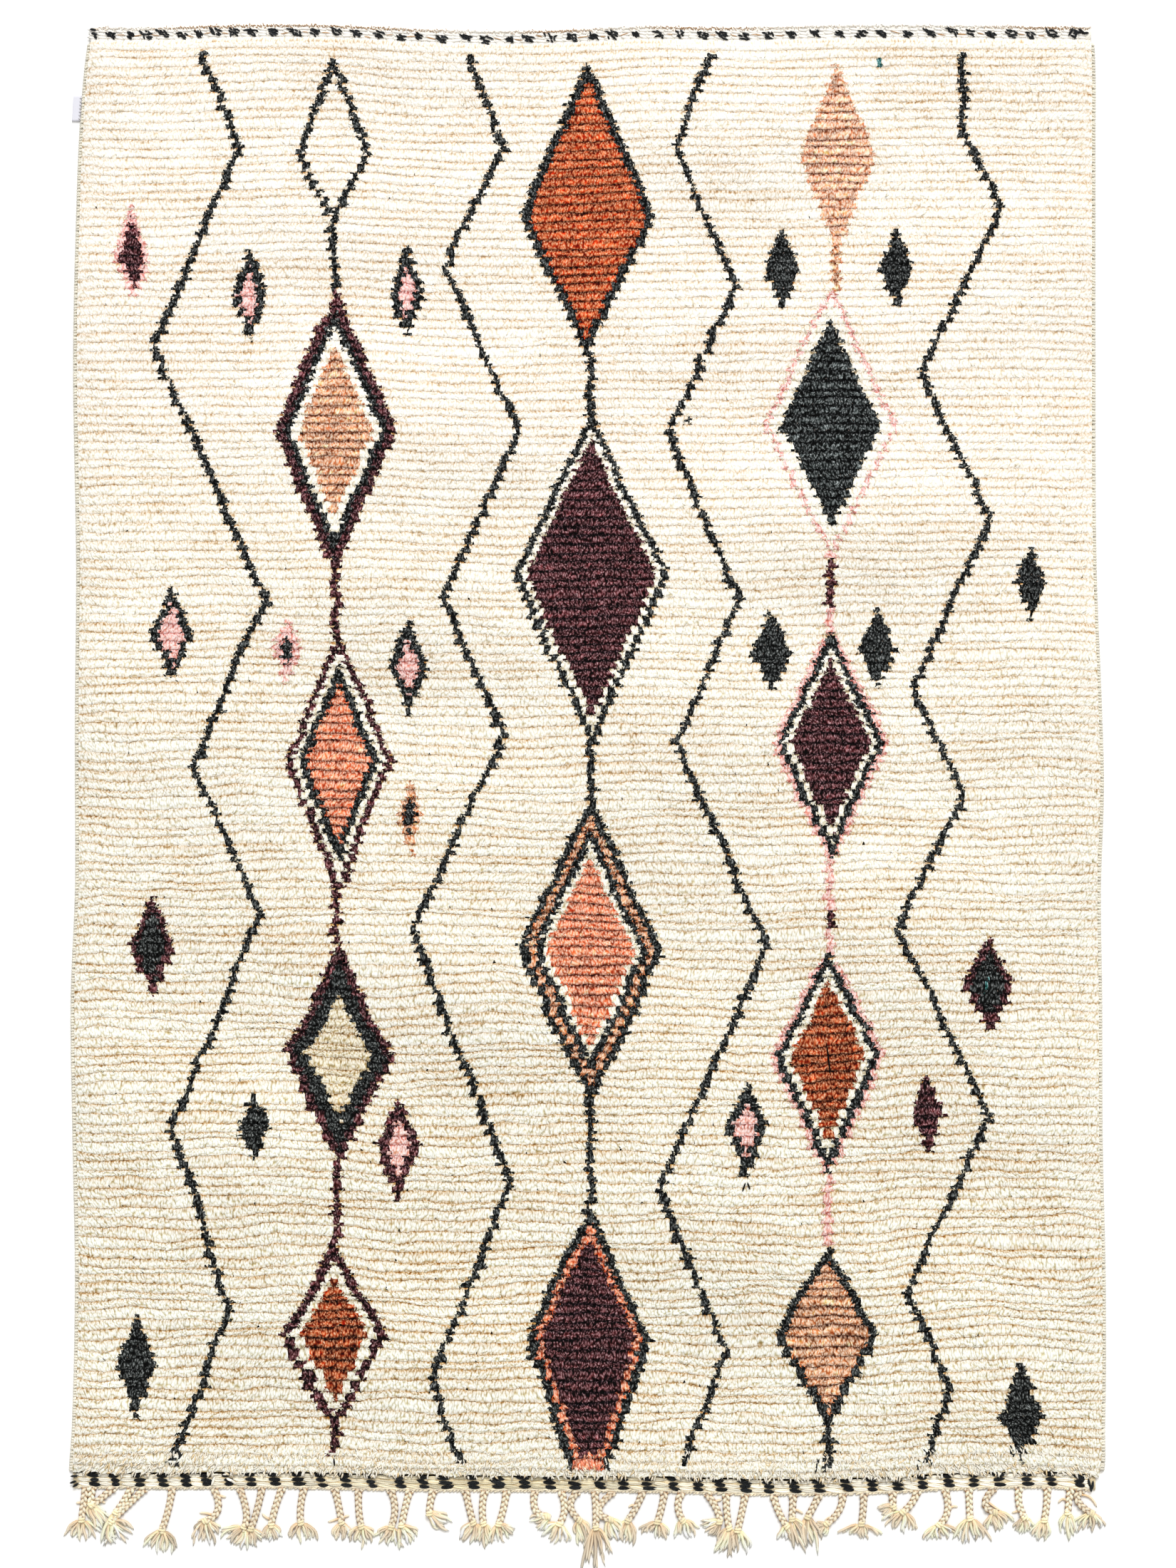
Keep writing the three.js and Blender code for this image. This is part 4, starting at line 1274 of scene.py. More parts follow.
def end_locks(dye, material):
    """Thick locks of wool, each in its knot's dye, that lie over the last rows at the braided end and hang
    down over its band. Those at the corners turn outwards."""
    rng = np.random.default_rng(12)
    share = rng.random(LOCK_COUNT)
    across = mix(BRAIDED_EDGE["across"][0] + 12, BRAIDED_EDGE["across"][-1] - 12, share)
    inwards = LOCK_REACH * rng.random(LOCK_COUNT) ** 1.3 - 1
    outwards = 0.8 * np.sign(across) * (np.abs(across) / 850) ** 3
    turn = -0.5 * np.pi + rng.normal(0, 0.45, LOCK_COUNT) + outwards
    along = field_low(across) + inwards
    height = LOCK_HEIGHT + swells(across, along) - LOCK_DROP * np.exp(-(inwards + 1) / 5)
    middle = points_of(across, along, height)
    row = np.clip(inwards * KNOT_ROWS / FIELD_LENGTH, 0, KNOT_ROWS - 1).astype(int)
    owner = dye[row, (share * KNOT_COLUMNS).astype(int)]
    wool = mix(linear(DYES["white"].tip), linear(LOCK_SHADE), rng.random((LOCK_COUNT, 1)) ** 3)
    dyed = TIPS[owner] * rng.uniform(0.6, 1.3, (LOCK_COUNT, 1))
    colour = np.where((owner == dye_number("cream"))[:, None], wool, dyed)
    length = LOCK_LENGTH + 1.3 * rng.standard_normal(LOCK_COUNT)
    wide, high = rng.uniform(1.4, 2.2, LOCK_COUNT), rng.uniform(0.9, 1.3, LOCK_COUNT)
    lock = LOCK._replace(half_width=wide, half_height=high)
    return yarn_piece("end_locks", lens(middle, length, turn, lock, colour, rng), material)


def pile(material, lock_material):
    """The knotted pile in strips, with its stray ends and its last locks."""
    rng = np.random.default_rng(11)
    face_dye = knotted_dyes(rng)
    dye = face_dye[CREST :: len(ROLL)]
    surface = pile_surface(dye, rng)
    colour, shade = knot_colours(face_dye, surface, rng)
    combed = combed_places(rng)
    normals = unit(np.cross(np.gradient(surface.points, axis=1), np.gradient(surface.points, axis=0)))
    borders = np.linspace(0, KNOT_COLUMNS, PILE_STRIPS + 1).astype(int)
    pieces = []
    for number, (start, end) in enumerate(zip(borders[:-1], borders[1:])):
        lines = slice(start, end + 1)
        pieces.append(pile_strip(
            f"pile_strip_{number + 1}", surface.points[:, lines], colour[:, start:end], shade[:, start:end],
            combed[:, start:end], normals[:, lines], material,
        ))
    return pieces + [stray_ends(dye, surface, material, rng), end_locks(dye, lock_material)]


def lens(middle, half_length, turn, strand, colour, rng):
    """Short strands with pointed ends. A strand is a straight line through its middle, turned in the plane
    of the floor. Its half width and half height follow the square root of a half sine, and its line rises
    by its bow times a half sine."""
    share = np.linspace(0, 1, strand.stations)
    swell = np.sin(np.pi * share)
    ahead = points_of(np.cos(turn), np.sin(turn), 0)
    line = (2 * share - 1) * np.asarray(half_length)[..., None]
    path = middle[:, None] + line[..., None] * ahead[:, None] + UP * (strand.bow * swell)[..., None]
    full = np.sqrt(swell)
    wide = np.asarray(strand.half_width)[..., None] * full
    high = np.asarray(strand.half_height)[..., None] * full
    return spin(path, floor_side(path), wide, high, strand.sides, colour[:, None], rng, strand.valley)


def tinted(colour, count, spread, rng):
    """Several strands of one yarn: its colour, each strand a little lighter or darker."""
    return linear(colour) * np.exp(spread * rng.standard_normal(count))[:, None]


# The cloths and yarns of the ground, the bands, the sides and the tab, as shown on a screen
GROUND_WOOL = (236, 222, 192)
HEM_WOOL = (254, 250, 240)
RIBBON = (226, 226, 234)
PALE_YARN = (253, 249, 238)
OLIVE_YARN = (232, 224, 200)
LOOSE_YARN = (252, 248, 238)
DARK_YARN = (44, 47, 50)
EDGE_YARN = (242, 238, 226)
HEM_TAN = (208, 170, 124)
HEM_PALE = (255, 252, 246)
TAB_THREAD = (226, 224, 226)

# A float's strands: how far they turn round each other, how far apart and how far over each other they lie,
# how high the float arches, and a strand's half width and half height
FLOAT_TURN = 1.7
FLOAT_APART = 1.75
FLOAT_OVER = 0.9
FLOAT_ARCH = 1.3
FLOAT_WIDTH = 1.95
FLOAT_HEIGHT = 1.8


def edge_places(edge, across, inwards, height):
    """Places along an end of the rug, a distance inwards from its edge. Inwards is up the rug at the
    braided end and down it at the hemmed end."""
    towards = 1 if edge is braided_edge else -1
    return points_of(across, edge(across) + towards * inwards, height)


def floats(middle, half_length, colour, slant, rng):
    """Floats of a twined band: each is two strands side by side that turn round each other a little. A
    strand lies off the float's line by the cosine of its turn and above it by the sine, both times a half
    sine to the power of 0.6, so that the float is pointed at both ends."""
    count = len(middle)
    share = np.linspace(0, 1, 7)
    taper = np.sin(np.pi * share) ** 0.6
    lots = []
    for strand in (-1, 1):
        turn = (share - 0.5) * FLOAT_TURN + rng.normal(0, 0.25, (count, 1))
        line = (2 * share - 1) * half_length[:, None]
        x = middle[:, :1] + line
        y = middle[:, 1:2] + slant[:, None] * line + strand * FLOAT_APART * np.cos(turn) * taper
        z = middle[:, 2:] + strand * FLOAT_OVER * np.sin(turn) * taper + FLOAT_ARCH * taper
        path = points_of(x, y, z)
        shade = colour * np.exp(0.10 * rng.standard_normal(count))[:, None]
        wide, high = FLOAT_WIDTH * taper, FLOAT_HEIGHT * taper
        lots.append(spin(path, floor_side(path), wide, high, 5, shade[:, None], rng, 1.6))
    return lots


def turns_of_yarn(edge, rows, colour, rng):
    """Single turns of yarn over a band, from a table of places."""
    middle = edge_places(edge, rows["across"], rows["inwards"], 6.3)
    shade = tinted(colour, len(rows), 0.15, rng)
    return lens(middle, rows["length"] / 2, np.radians(rows["turn"]), BAND_TURN, shade, rng)


def repeat_places(repeats, rng):
    """The places of a band's repeats along it, evenly spaced between those that its table names, and each a
    little off."""
    number = np.arange(repeats["number"][-1] + 1)
    return np.interp(number, repeats["number"], repeats["across"]) + rng.normal(0, 2.2, len(number))


def dark_floats(block, block_length, row, rng):
    """One row's dark floats, one to a block."""
    half = block_length * (1 + 0.10 * rng.standard_normal(len(block)))
    x = block + row["shift"] + rng.normal(0, 1.3, len(block))
    inwards = row["inwards"] + rng.normal(0, 0.5, len(x))
    slant = -0.10 + 0.08 * rng.standard_normal(len(x))
    middle = edge_places(braided_edge, x, inwards, 3.8)
    return floats(middle, half, tinted(DARK_YARN, len(x), 0.25, rng), slant, rng)


def pale_floats(starts, ends, row, rng):
    """One row's pale floats, from block to block, duller by a bell curve round OLIVE_MIDDLE."""
    x = 0.5 * (starts + ends) + row["shift"] + rng.normal(0, 0.8, len(starts))
    half = 0.5 * (ends - starts) - 0.45 * DARK_FLOAT + rng.normal(0, 0.6, len(starts))
    olive = np.exp(-((x - OLIVE_MIDDLE) / OLIVE_REACH) ** 2)[:, None]
    colour = mix(tinted(PALE_YARN, len(x), 0.05, rng), tinted(OLIVE_YARN, len(x), 0.05, rng), olive)
    middle = edge_places(braided_edge, x, row["inwards"] + rng.normal(0, 0.4, len(x)), 3.3)
    return floats(middle, half, colour, -0.05 + 0.05 * rng.standard_normal(len(x)), rng)


def braided_end_band(material):
    """The band at the braided end: three rows of floats in alternating dark and pale blocks, the dark turns
    at its corners, and a few loose pale ends."""
    rng = np.random.default_rng(5)
    block = repeat_places(BLOCKS, rng)
    starts = np.concatenate([[BRAIDED_EDGE["across"][0] + 5], block])
    ends = np.concatenate([block, [BRAIDED_EDGE["across"][-1] - 7]])
    block_length = DARK_FLOAT * (1 + 0.12 * rng.standard_normal(len(block)))
    lots = []
    for row in FLOAT_ROWS:
        lots += dark_floats(block, block_length, row, rng)
        lots += pale_floats(starts, ends, row, rng)
    lots.append(turns_of_yarn(braided_edge, CORNER_TURNS, DARK_YARN, rng))
    lots.append(turns_of_yarn(braided_edge, LOOSE_TURNS, LOOSE_YARN, rng))
    return yarn_piece("braided_end_floats", joined(lots), material)


# The hem: half the width and height of its roll, and how far apart the stitches over it are
HEM_ROLL_WIDTH = 2.9
HEM_ROLL_HEIGHT = 2.6
HEM_STITCH_PITCH = 1.2


def hem_roll(left, right, rng):
    """The rolled edge of the hem, thinner at both ends."""
    across = np.linspace(left, right, 160)
    roll = edge_places(hemmed_edge, across, HEM_ROLL_WIDTH, 2.7)[None]
    taper = np.minimum(1, np.minimum(across - left, right - across) / 12 + 0.3)
    wide, high = HEM_ROLL_WIDTH * taper, HEM_ROLL_HEIGHT * taper
    return spin(roll, floor_side(roll), wide, high, 8, linear(HEM_PALE), rng, 0.3)


def hem_stitches(left, right, rng):
    """Fine slanted stitches over the roll, from tan to pale by two sines along it."""
    x = np.arange(left + 3, right - 3, HEM_STITCH_PITCH)
    count = len(x)
    place = edge_places(hemmed_edge, x + rng.normal(0, 0.5, count), 3.6 + rng.normal(0, 1.5, count), 5.6)
    fade = 0.5 + 0.5 * np.sin(x / 61 + 2 * np.sin(x / 143))
    paled = np.clip(fade + rng.normal(0, 0.2, count), 0, 1)[:, None]
    colour = mix(linear(HEM_TAN), linear(HEM_PALE), paled)
    turn = np.radians(-50 + rng.normal(0, 35, count))
    return lens(place, 2.0, turn, HEM_STITCH, colour, rng)


def hem_pale_row(left, right, inwards, rng):
    """One row of pale floats of the hemmed end's band."""
    x = np.arange(left + 8, right - 4, PALE_PITCH) + rng.normal(0, 2.0)
    count = len(x)
    place = edge_places(hemmed_edge, x, inwards + rng.normal(0, 0.5, count), 4.6)
    half, turn = 10 + rng.normal(0, 1, count), rng.normal(-0.08, 0.08, count)
    return lens(place, half, turn, HEM_FLOAT, tinted(HEM_PALE, count, 0.02, rng), rng)


def hem_tan_threads(spot, rng):
    """Thin tan threads between most spots and the next."""
    between = 0.5 * (spot[1:] + spot[:-1])[rng.random(len(spot) - 1) < 0.7]
    count = len(between)
    place = edge_places(hemmed_edge, between, SPOT_MIDDLE + rng.normal(0, 1.5, count), 5.6)
    half, turn = 8 + rng.normal(0, 2, count), rng.normal(-0.1, 0.15, count)
    return lens(place, half, turn, HEM_THREAD, tinted(HEM_TAN, count, 0.1, rng), rng)


def hem_spots(spot, rng):
    """The dark ends of each spot, laid out by SPOT_ENDS, with a size and a lean of each spot's own and some
    ends left out."""
    each = (len(spot), 1)
    size = 1 + 0.16 * rng.standard_normal(each)
    lean = rng.normal(0, 0.25, each)
    off_middle = SPOT_ENDS["inwards"] - SPOT_MIDDLE
    x = spot[:, None] + size * (SPOT_ENDS["across"] + lean * off_middle)
    inwards = rng.normal(0, 1.2, each) + SPOT_MIDDLE + size * off_middle
    kept = rng.random(x.shape) < rng.uniform(0.75, 1.1, each)
    x, inwards = x[kept], inwards[kept]
    count = len(x)
    place = edge_places(hemmed_edge, x + rng.normal(0, 1.2, count), inwards + rng.normal(0, 0.9, count), 6.0)
    half, turn = 4.5 + rng.normal(0, 0.9, count), np.radians(-28 + rng.normal(0, 24, count))
    return lens(place, half, turn, SPOT_END, tinted(DARK_YARN, count, 0.45, rng), rng)


def hemmed_end_band(material):
    """The band at the hemmed end: a rolled edge with fine slanted stitches, rows of pale floats, thin tan
    threads, ragged spots of short slanted dark ends, and the dark turns at its corners."""
    rng = np.random.default_rng(6)
    left, right = HEMMED_EDGE["across"][0] + 2, HEMMED_EDGE["across"][-1] - 2
    lots = [hem_roll(left, right, rng), hem_stitches(left, right, rng)]
    lots += [hem_pale_row(left, right, inwards, rng) for inwards in PALE_ROWS]
    spot = repeat_places(SPOTS, rng)
    lots += [hem_tan_threads(spot, rng), hem_spots(spot, rng)]
    lots.append(turns_of_yarn(hemmed_edge, HEM_CORNER_TURNS, DARK_YARN, rng))
    return yarn_piece("hemmed_end_floats", joined(lots), material)


# An overcast stitch's stations: distance inwards from the edge, height, half width and half thickness
OVERCAST = table("inwards height half_width half_thickness", [
    (1.6, 0.5, 0.0, 0.0), (0.4, 3.0, 2.2, 1.2), (2.4, 5.6, 2.5, 1.3),
    (6.4, 6.3, 2.5, 1.3), (10.0, 4.6, 0.0, 0.0),
])
OVERCAST_PITCH = 4.7


def overcast(name, edge, inwards, material, seed):
    """One long edge: a core cord, and yarn wound round it stitch by stitch. Inwards is 1 or -1, towards +X or
    towards -X."""
    rng = np.random.default_rng(seed)
    low, high = LONG_EDGES["along"][0] + 30, LONG_EDGES["along"][-1] - 22
    along = np.linspace(low, high, 100)
    core = points_of(edge(along) + inwards * 3.2, along, 2.7)[None]
    lots = [spin(core, floor_side(core), 2.6, 2.5, 6, linear(EDGE_YARN), rng, 0.8)]
    along = np.arange(low + 2, high - 2, OVERCAST_PITCH)
    along = along + rng.normal(0, 0.5, len(along))
    each = (len(along), 1)
    wide = 1 + 0.1 * rng.standard_normal(each)
    tilt = 0.12 + 0.1 * rng.standard_normal(each)
    x = edge(along)[:, None] + inwards * OVERCAST["inwards"] * wide
    y = along[:, None] + tilt * OVERCAST["inwards"]
    path = points_of(x, y, OVERCAST["height"] * (1 + 0.04 * rng.standard_normal(each)))
    side = [0.0, float(inwards), 0.0]
    shade = tinted(EDGE_YARN, len(along), 0.05, rng)[:, None]
    lots.append(spin(path, side, OVERCAST["half_width"], OVERCAST["half_thickness"], 4, shade, rng, 1.4))
    return yarn_piece(name, joined(lots), material)


# A braid: the length in which a strand comes back to its side, the points along it, how far a strand swings
# to the side and rises, how low it can lie, its half width and half height, and how dark or light a braid is
PLAIT_PERIOD = 27.0
PLAIT_STATIONS = 24
PLAIT_SWING = 3.7
PLAIT_RISE = 2.1
PLAIT_LOWEST = -1.4
STRAND_WIDTH = 2.7
STRAND_HEIGHT = 1.8
PLAIT_TONES = (0.94, 1.08)

# Its knot: the turns and length of the winding strand, and half its width and height
KNOT_TURNS = 2.1
KNOT_LENGTH = 8.5
KNOT_WIDTH = 4.3
KNOT_HEIGHT = 2.9

# The cotton of the warp ends as shown on a screen: where a strand rises, the painted shade where it dips, the
# loose ends at the knot and at their tips, and the heading
COTTON_PALE = (255, 249, 231)
COTTON_PAINTED_SHADE = (186, 138, 78)
COTTON_TAN = (252, 220, 172)
COTTON_END = (255, 248, 232)
TAN_COTTON = (252, 243, 222)


def braid_routes():
    """The middle lines of the braids at even shares of their route: a parabola through root, bend and knot,
    with the length walked along it, its direction and the level direction square to it."""
    share = np.linspace(0, 1, PLAIT_STATIONS)
    edge = braided_edge(BRAIDS["root"])
    root = points_of(BRAIDS["root"], edge + 2.5, 4.2)
    bend = points_of(BRAIDS["root"] + BRAIDS["bend_x"], edge - BRAIDS["bend_down"], 4.4)
    knot = points_of(BRAIDS["root"] + BRAIDS["knot_x"], edge - BRAIDS["knot_down"], 4.8)
    weights = [(2 * share - 1) * (share - 1), 4 * share * (1 - share), share * (2 * share - 1)]
    route = sum(weight[:, None] * point[:, None] for weight, point in zip(weights, (root, bend, knot)))
    steps = np.linalg.norm(np.diff(route, axis=1), axis=-1)
    walked = np.concatenate([np.zeros((len(route), 1)), np.cumsum(steps, axis=1)], axis=1)
    ahead = unit(np.gradient(route, axis=1))
    return route, walked, ahead, unit(np.cross(UP, ahead))


def plaits(route, walked, beside, tone, rng):
    """Three strands to a braid. A strand lies beside the middle line by the sine of its phase and above it
    by the sine of twice the phase, and each strand is a third of a turn behind the last. At the root the
    strands spread out as they come from the heading."""
    lots = []
    start = rng.uniform(0, 2 * np.pi, (len(route), 1))
    for strand in range(3):
        phase = 2 * np.pi * (walked / PLAIT_PERIOD + strand / 3) + start
        spread = 1 + 0.9 * np.exp(-walked / 6)
        across = PLAIT_SWING * np.sin(phase) * spread
        rise = np.maximum(PLAIT_RISE * np.sin(2 * phase), PLAIT_LOWEST)
        path = route + across[..., None] * beside + UP * rise[..., None]
        # A strand is pale where it rises and takes a painted shade where it dips under the others
        crest = (0.5 + 0.5 * np.sin(2 * phase))[..., None]
        colour = tone[:, None, None] * mix(linear(COTTON_PAINTED_SHADE), linear(COTTON_PALE), crest)
        colour = np.minimum(colour, PALEST)
        lots.append(spin(path, floor_side(path), STRAND_WIDTH, STRAND_HEIGHT, 5, colour, rng, 3.0))
    return lots


def knots(knot, ahead, beside, tone, rng):
    """The knot of each braid: two turns of a strand wound round it like a spring. A turn goes round by
    cosine and sine while it moves ahead by its pitch."""
    share = np.linspace(0, 1, 17)
    turn = 2 * np.pi * (KNOT_TURNS * share + rng.uniform(0, 1, (len(knot), 1)))
    path = (
        knot[:, None]
        + ((share - 0.5) * KNOT_LENGTH)[None, :, None] * ahead[:, None]
        + (KNOT_WIDTH * np.cos(turn))[..., None] * beside[:, None]
        + UP * (1.6 + KNOT_HEIGHT * np.sin(turn))[..., None]
    )
    colour = tone[:, None, None] * linear(COTTON_PALE) * np.ones((1, len(share), 1))
    return spin(path, np.broadcast_to(-ahead[:, None], path.shape), 2.3, 1.9, 5, colour, rng, 1.6)


# A tuft: its strands, the points along one, its half width and half of that to its height, and how far the
# strands wave
TUFT_STRANDS = 17
TUFT_STATIONS = 8
TUFT_WIDTH = 2.2
TUFT_FLATNESS = 0.6
TUFT_WAVE = 3.0


def tufts(knot, tone, rng):
    """The loose ends below each knot. An end flares sideways first, by one minus (1 - share) to the power
    of 1.7, and runs on downwards, by share to the power of 1.2."""
    share = np.linspace(0, 1, TUFT_STATIONS)
    end = points_of(BRAIDS["tuft_x"], -BRAIDS["tuft_down"], 0)
    length = np.linalg.norm(end, axis=-1, keepdims=True)
    ahead = end / length
    beside = unit(np.cross(UP, ahead))
    fan = np.linspace(-1, 1, TUFT_STRANDS) + rng.normal(0, 0.12, (len(knot), TUFT_STRANDS))
    each = (*fan.shape, 1)
    reach = length * (1 - 0.18 * np.abs(fan) + rng.normal(0, 0.17, fan.shape))
    aside = 0.58 * BRAIDS["spread"][:, None] * fan
    flare = 1 - (1 - share) ** 1.7
    wave = np.sin(np.pi * share * rng.uniform(1.2, 2.6, each) + rng.uniform(0, 6, each))
    out = aside[..., None] * flare + 2.4 * fan[..., None] * (1 - share) + TUFT_WAVE * wave * share
    run = reach[..., None] * share**1.2
    lift = rng.uniform(-0.6, 2.6, each) * np.sin(np.pi * share) + mix(5.0, 2.4, share)
    path = (
        knot[:, None, None] * [1, 1, 0]
        + run[..., None] * ahead[:, None, None]
        + out[..., None] * beside[:, None, None]
        + UP * lift[..., None]
    ).reshape(-1, TUFT_STATIONS, 3)
    own = np.repeat(tone, TUFT_STRANDS) * np.exp(0.15 * rng.standard_normal(len(path)))
    colour = mix(linear(COTTON_TAN), linear(COTTON_END), share[:, None] ** 0.6) * own[:, None, None]
    wide = TUFT_WIDTH * np.exp(0.12 * rng.standard_normal((len(path), 1))) * np.where(share > 0.8, 0.9, 1)
    colour = np.minimum(colour, PALEST)
    return spin(path, floor_side(path), wide, TUFT_FLATNESS * wide, 4, colour, rng, 2.4)


# Ends that stick out of braids: which braid, the share of its length, the turn off its side and the length
WISPS = table("braid share turn length", [
    (0, 0.45, 190, 14), (1, 0.8, 205, 16), (2, 0.7, -30, 12), (6, 0.75, 170, 26), (6, 0.95, 195, 20),
    (6, 0.15, -18, 18), (9, 0.9, 150, 20), (11, 0.85, 200, 24), (11, 0.9, 20, 15), (15, 0.9, -20, 30),
    (19, 0.8, -10, 18), (24, 0.5, 190, 14), (27, 0.3, 15, 16), (31, 0.6, -25, 20), (33, 0.8, 200, 14),
    (37, 0.5, 12, 18), (39, 0.4, -35, 34), (40, 0.7, 205, 16), (42, 0.6, 185, 18), (43, 0.3, -35, 40),
    (43, 0.8, -20, 24),
])


def wisps(route, rng):
    """Single ends that leave a braid sideways and sag to the floor."""
    which = WISPS["braid"].astype(int)
    station = (WISPS["share"] * (PLAIT_STATIONS - 1)).astype(int)
    turn = np.radians(WISPS["turn"])
    share = np.linspace(0, 1, TUFT_STATIONS)
    start = route[which, station]
    line = points_of(np.cos(turn), np.sin(turn), 0)
    square = points_of(-np.sin(turn), np.cos(turn), 0)
    bow = 3.0 * rng.standard_normal((len(which), 1)) * np.sin(np.pi * share)
    path = (
        start[:, None] * [1, 1, 0]
        + (WISPS["length"][:, None] * share)[..., None] * line[:, None]
        + bow[..., None] * square[:, None]
        + UP * mix(4.0, 2.0, share)[:, None]
    )
    colour = mix(linear(COTTON_TAN), linear(COTTON_END), share[:, None]) * np.ones((len(which), 1, 1))
    return spin(path, floor_side(path), 1.9, 1.6, 4, colour, rng, 2.0)


# The rows of the heading: distance inwards from the edge, height, half a strand's length, and its turn
HEADING_ROWS = table("inwards height half turn", [(0.9, 2.2, 4.4, 0.55), (3.4, 3.2, 6.5, 0.10)])
HEADING_PITCH = 5.6


def heading_cord(rng):
    """The warp ends' heading along the braided edge: short overlapping strands of cotton."""
    x = np.arange(BRAIDED_EDGE["across"][0] + 10, BRAIDED_EDGE["across"][-1] - 9, HEADING_PITCH)
    count = len(x)
    lots = []
    for row in HEADING_ROWS:
        across = x + rng.normal(0, 0.8, count)
        place = edge_places(braided_edge, across, row["inwards"] + rng.normal(0, 0.3, count), row["height"])
        turn = rng.normal(row["turn"], 0.12, count)
        shade = tinted(TAN_COTTON, count, 0.08, rng)
        lots.append(lens(place, row["half"], turn, HEADING_STRAND, shade, rng))
    return lots


def fringe(material):
    """The warp ends: heading, braids, knots, loose ends and wisps."""
    rng = np.random.default_rng(8)
    route, walked, ahead, beside = braid_routes()
    tone = rng.uniform(*PLAIT_TONES, len(BRAIDS))
    plait_piece = yarn_piece("warp_plaits", joined(plaits(route, walked, beside, tone, rng)), material)
    knot = route[:, -1]
    ends = [knots(knot, ahead[:, -1], beside[:, -1], tone, rng), tufts(knot, tone, rng)]
    ends.append(wisps(route, rng))
    ends_piece = yarn_piece("warp_knots_and_ends", joined(ends), material)
    heading_piece = yarn_piece("warp_heading", joined(heading_cord(rng)), material)
    return [heading_piece, plait_piece, ends_piece]


def loose_threads(material):
    """Threads that lie loose on the pile."""
    rng = np.random.default_rng(9)
    middle = np.array([(thread.across, thread.along, THREAD_HEIGHT) for thread in THREADS], float)
    colour = linear([DYES[thread.dye].tip for thread in THREADS]) * 0.6
    half = np.array([thread.length / 2 for thread in THREADS])
    turn = np.radians([thread.turn for thread in THREADS])
    return yarn_piece("loose_threads", lens(middle, half, turn, LOOSE_THREAD, colour, rng), material)


def halves(a, b, c, d):
    """Two triangles for each four-cornered face, from the point numbers of its corners."""
    return np.concatenate([np.stack([a, b, c], -1).reshape(-1, 3), np.stack([a, c, d], -1).reshape(-1, 3)])


def closed_slab(name, across, along, low, high, material):
    """A closed slab over a grid of places, from one height to another: the grid above, the same grid below
    turned over, and a wall round the rim."""
    rows, columns = across.shape
    above = points_of(across, along, high).reshape(-1, 3)
    below = points_of(across, along, low).reshape(-1, 3)
    number = np.arange(rows * columns).reshape(rows, columns)
    top = halves(number[:-1, :-1], number[:-1, 1:], number[1:, 1:], number[1:, :-1])
    rim = rim_of(number)
    beside = np.roll(rim, -1)
    base = rows * columns
    wall = halves(rim, rim + base, beside + base, beside)
    triangles = np.concatenate([top, top[:, ::-1] + base, wall])
    return mesh_object(name, np.concatenate([above, below]), triangles, material)


def ground(material):
    """The woven ground that the knots are tied into."""
    row, column = np.mgrid[0:49, 0:33]
    across, along = field_place(column / 32, row / 48)
    return closed_slab("woven_ground", across, along, 0.0, 0.9 * GROUND_THICKNESS, material)


def band_ground(name, edge, start, end, height, material):
    """The woven strip under a band's floats."""
    table_across = BRAIDED_EDGE["across"] if edge is braided_edge else HEMMED_EDGE["across"]
    shares = [0.0, 1.0] if edge is braided_edge else [1.0, 0.0]
    across, share = np.meshgrid(np.linspace(table_across[0] + 5, table_across[-1] - 4, 81), shares)
    places = edge_places(edge, across, mix(start, end, share), 0.0)
    return closed_slab(name, places[..., 0], places[..., 1], 0.0, height, material)


def folded_tab(material):
    """The blank tab: a ribbon folded back on itself. Its section is a middle line that runs out, turns over
    in a half circle and runs back, thickened along its normal, and carried along the rug's edge."""
    turn = np.linspace(-0.5, 0.5, 9) * np.pi
    fold = 0.9
    out = TAB_REACH - fold
    reach = np.concatenate([[0.0, 4.0, 8.0], out + fold * np.cos(turn), [8.0, 4.0, 0.0]])
    height = np.concatenate([[0.5, 0.5, 0.5], 0.6 + fold * (1 + np.sin(turn)), [2.6, 2.7, 2.5]])
    line = np.stack([reach, height], axis=-1)
    step = unit(np.gradient(line, axis=0))
    normal = np.stack([step[:, 1], -step[:, 0]], axis=-1) * 0.5 * TAB_THICKNESS
    outline = np.concatenate([line + normal, (line - normal)[::-1]])
    along = np.linspace(TAB_LOW, TAB_HIGH, 15)[:, None]
    wave = 0.25 * np.sin(along / 6.0) * outline[:, 0] / TAB_REACH
    places = points_of(left_edge(along) - 0.4 - outline[:, 0] + wave, along, outline[:, 1])
    stations, corners = places.shape[:2]
    number = np.arange(stations * corners).reshape(stations, corners)
    beside = np.roll(number, -1, axis=1)
    wall = halves(number[:-1], beside[:-1], beside[1:], number[1:])
    near = number[0, : len(line)]
    far = number[0, ::-1][: len(line)]
    cap = halves(near[:-1], far[:-1], far[1:], near[1:])
    triangles = np.concatenate([wall, cap, cap[:, ::-1] + number[-1, 0]])
    return mesh_object("folded_tab", places.reshape(-1, 3), triangles, material)


def tab_stitches(material):
    """Small stitches that hold the tab to the edge."""
    rng = np.random.default_rng(10)
    along = np.linspace(TAB_LOW + 4, TAB_HIGH - 4, 7)
    middle = points_of(left_edge(along) - 0.8, along, 3.2)
    turn = rng.normal(0.1, 0.1, len(along))
    shade = tinted(TAB_THREAD, len(along), 0.04, rng)
    return yarn_piece("tab_stitches", lens(middle, 3.0, turn, TAB_STITCH, shade, rng), material)


# The stage: the floor's half width and its height, and the sun's strength, size and turns in degrees
FLOOR_REACH = 9000.0
FLOOR_HEIGHT = -0.2
FLOOR_PAINT = (252, 252, 251)
SUN_STRENGTH = 2.4
SUN_SIZE = 28
SUN_TURNS = (-42, 8, 0)
SURROUND = (1.0, 0.99, 0.975, 1)
SURROUND_STRENGTH = 0.62

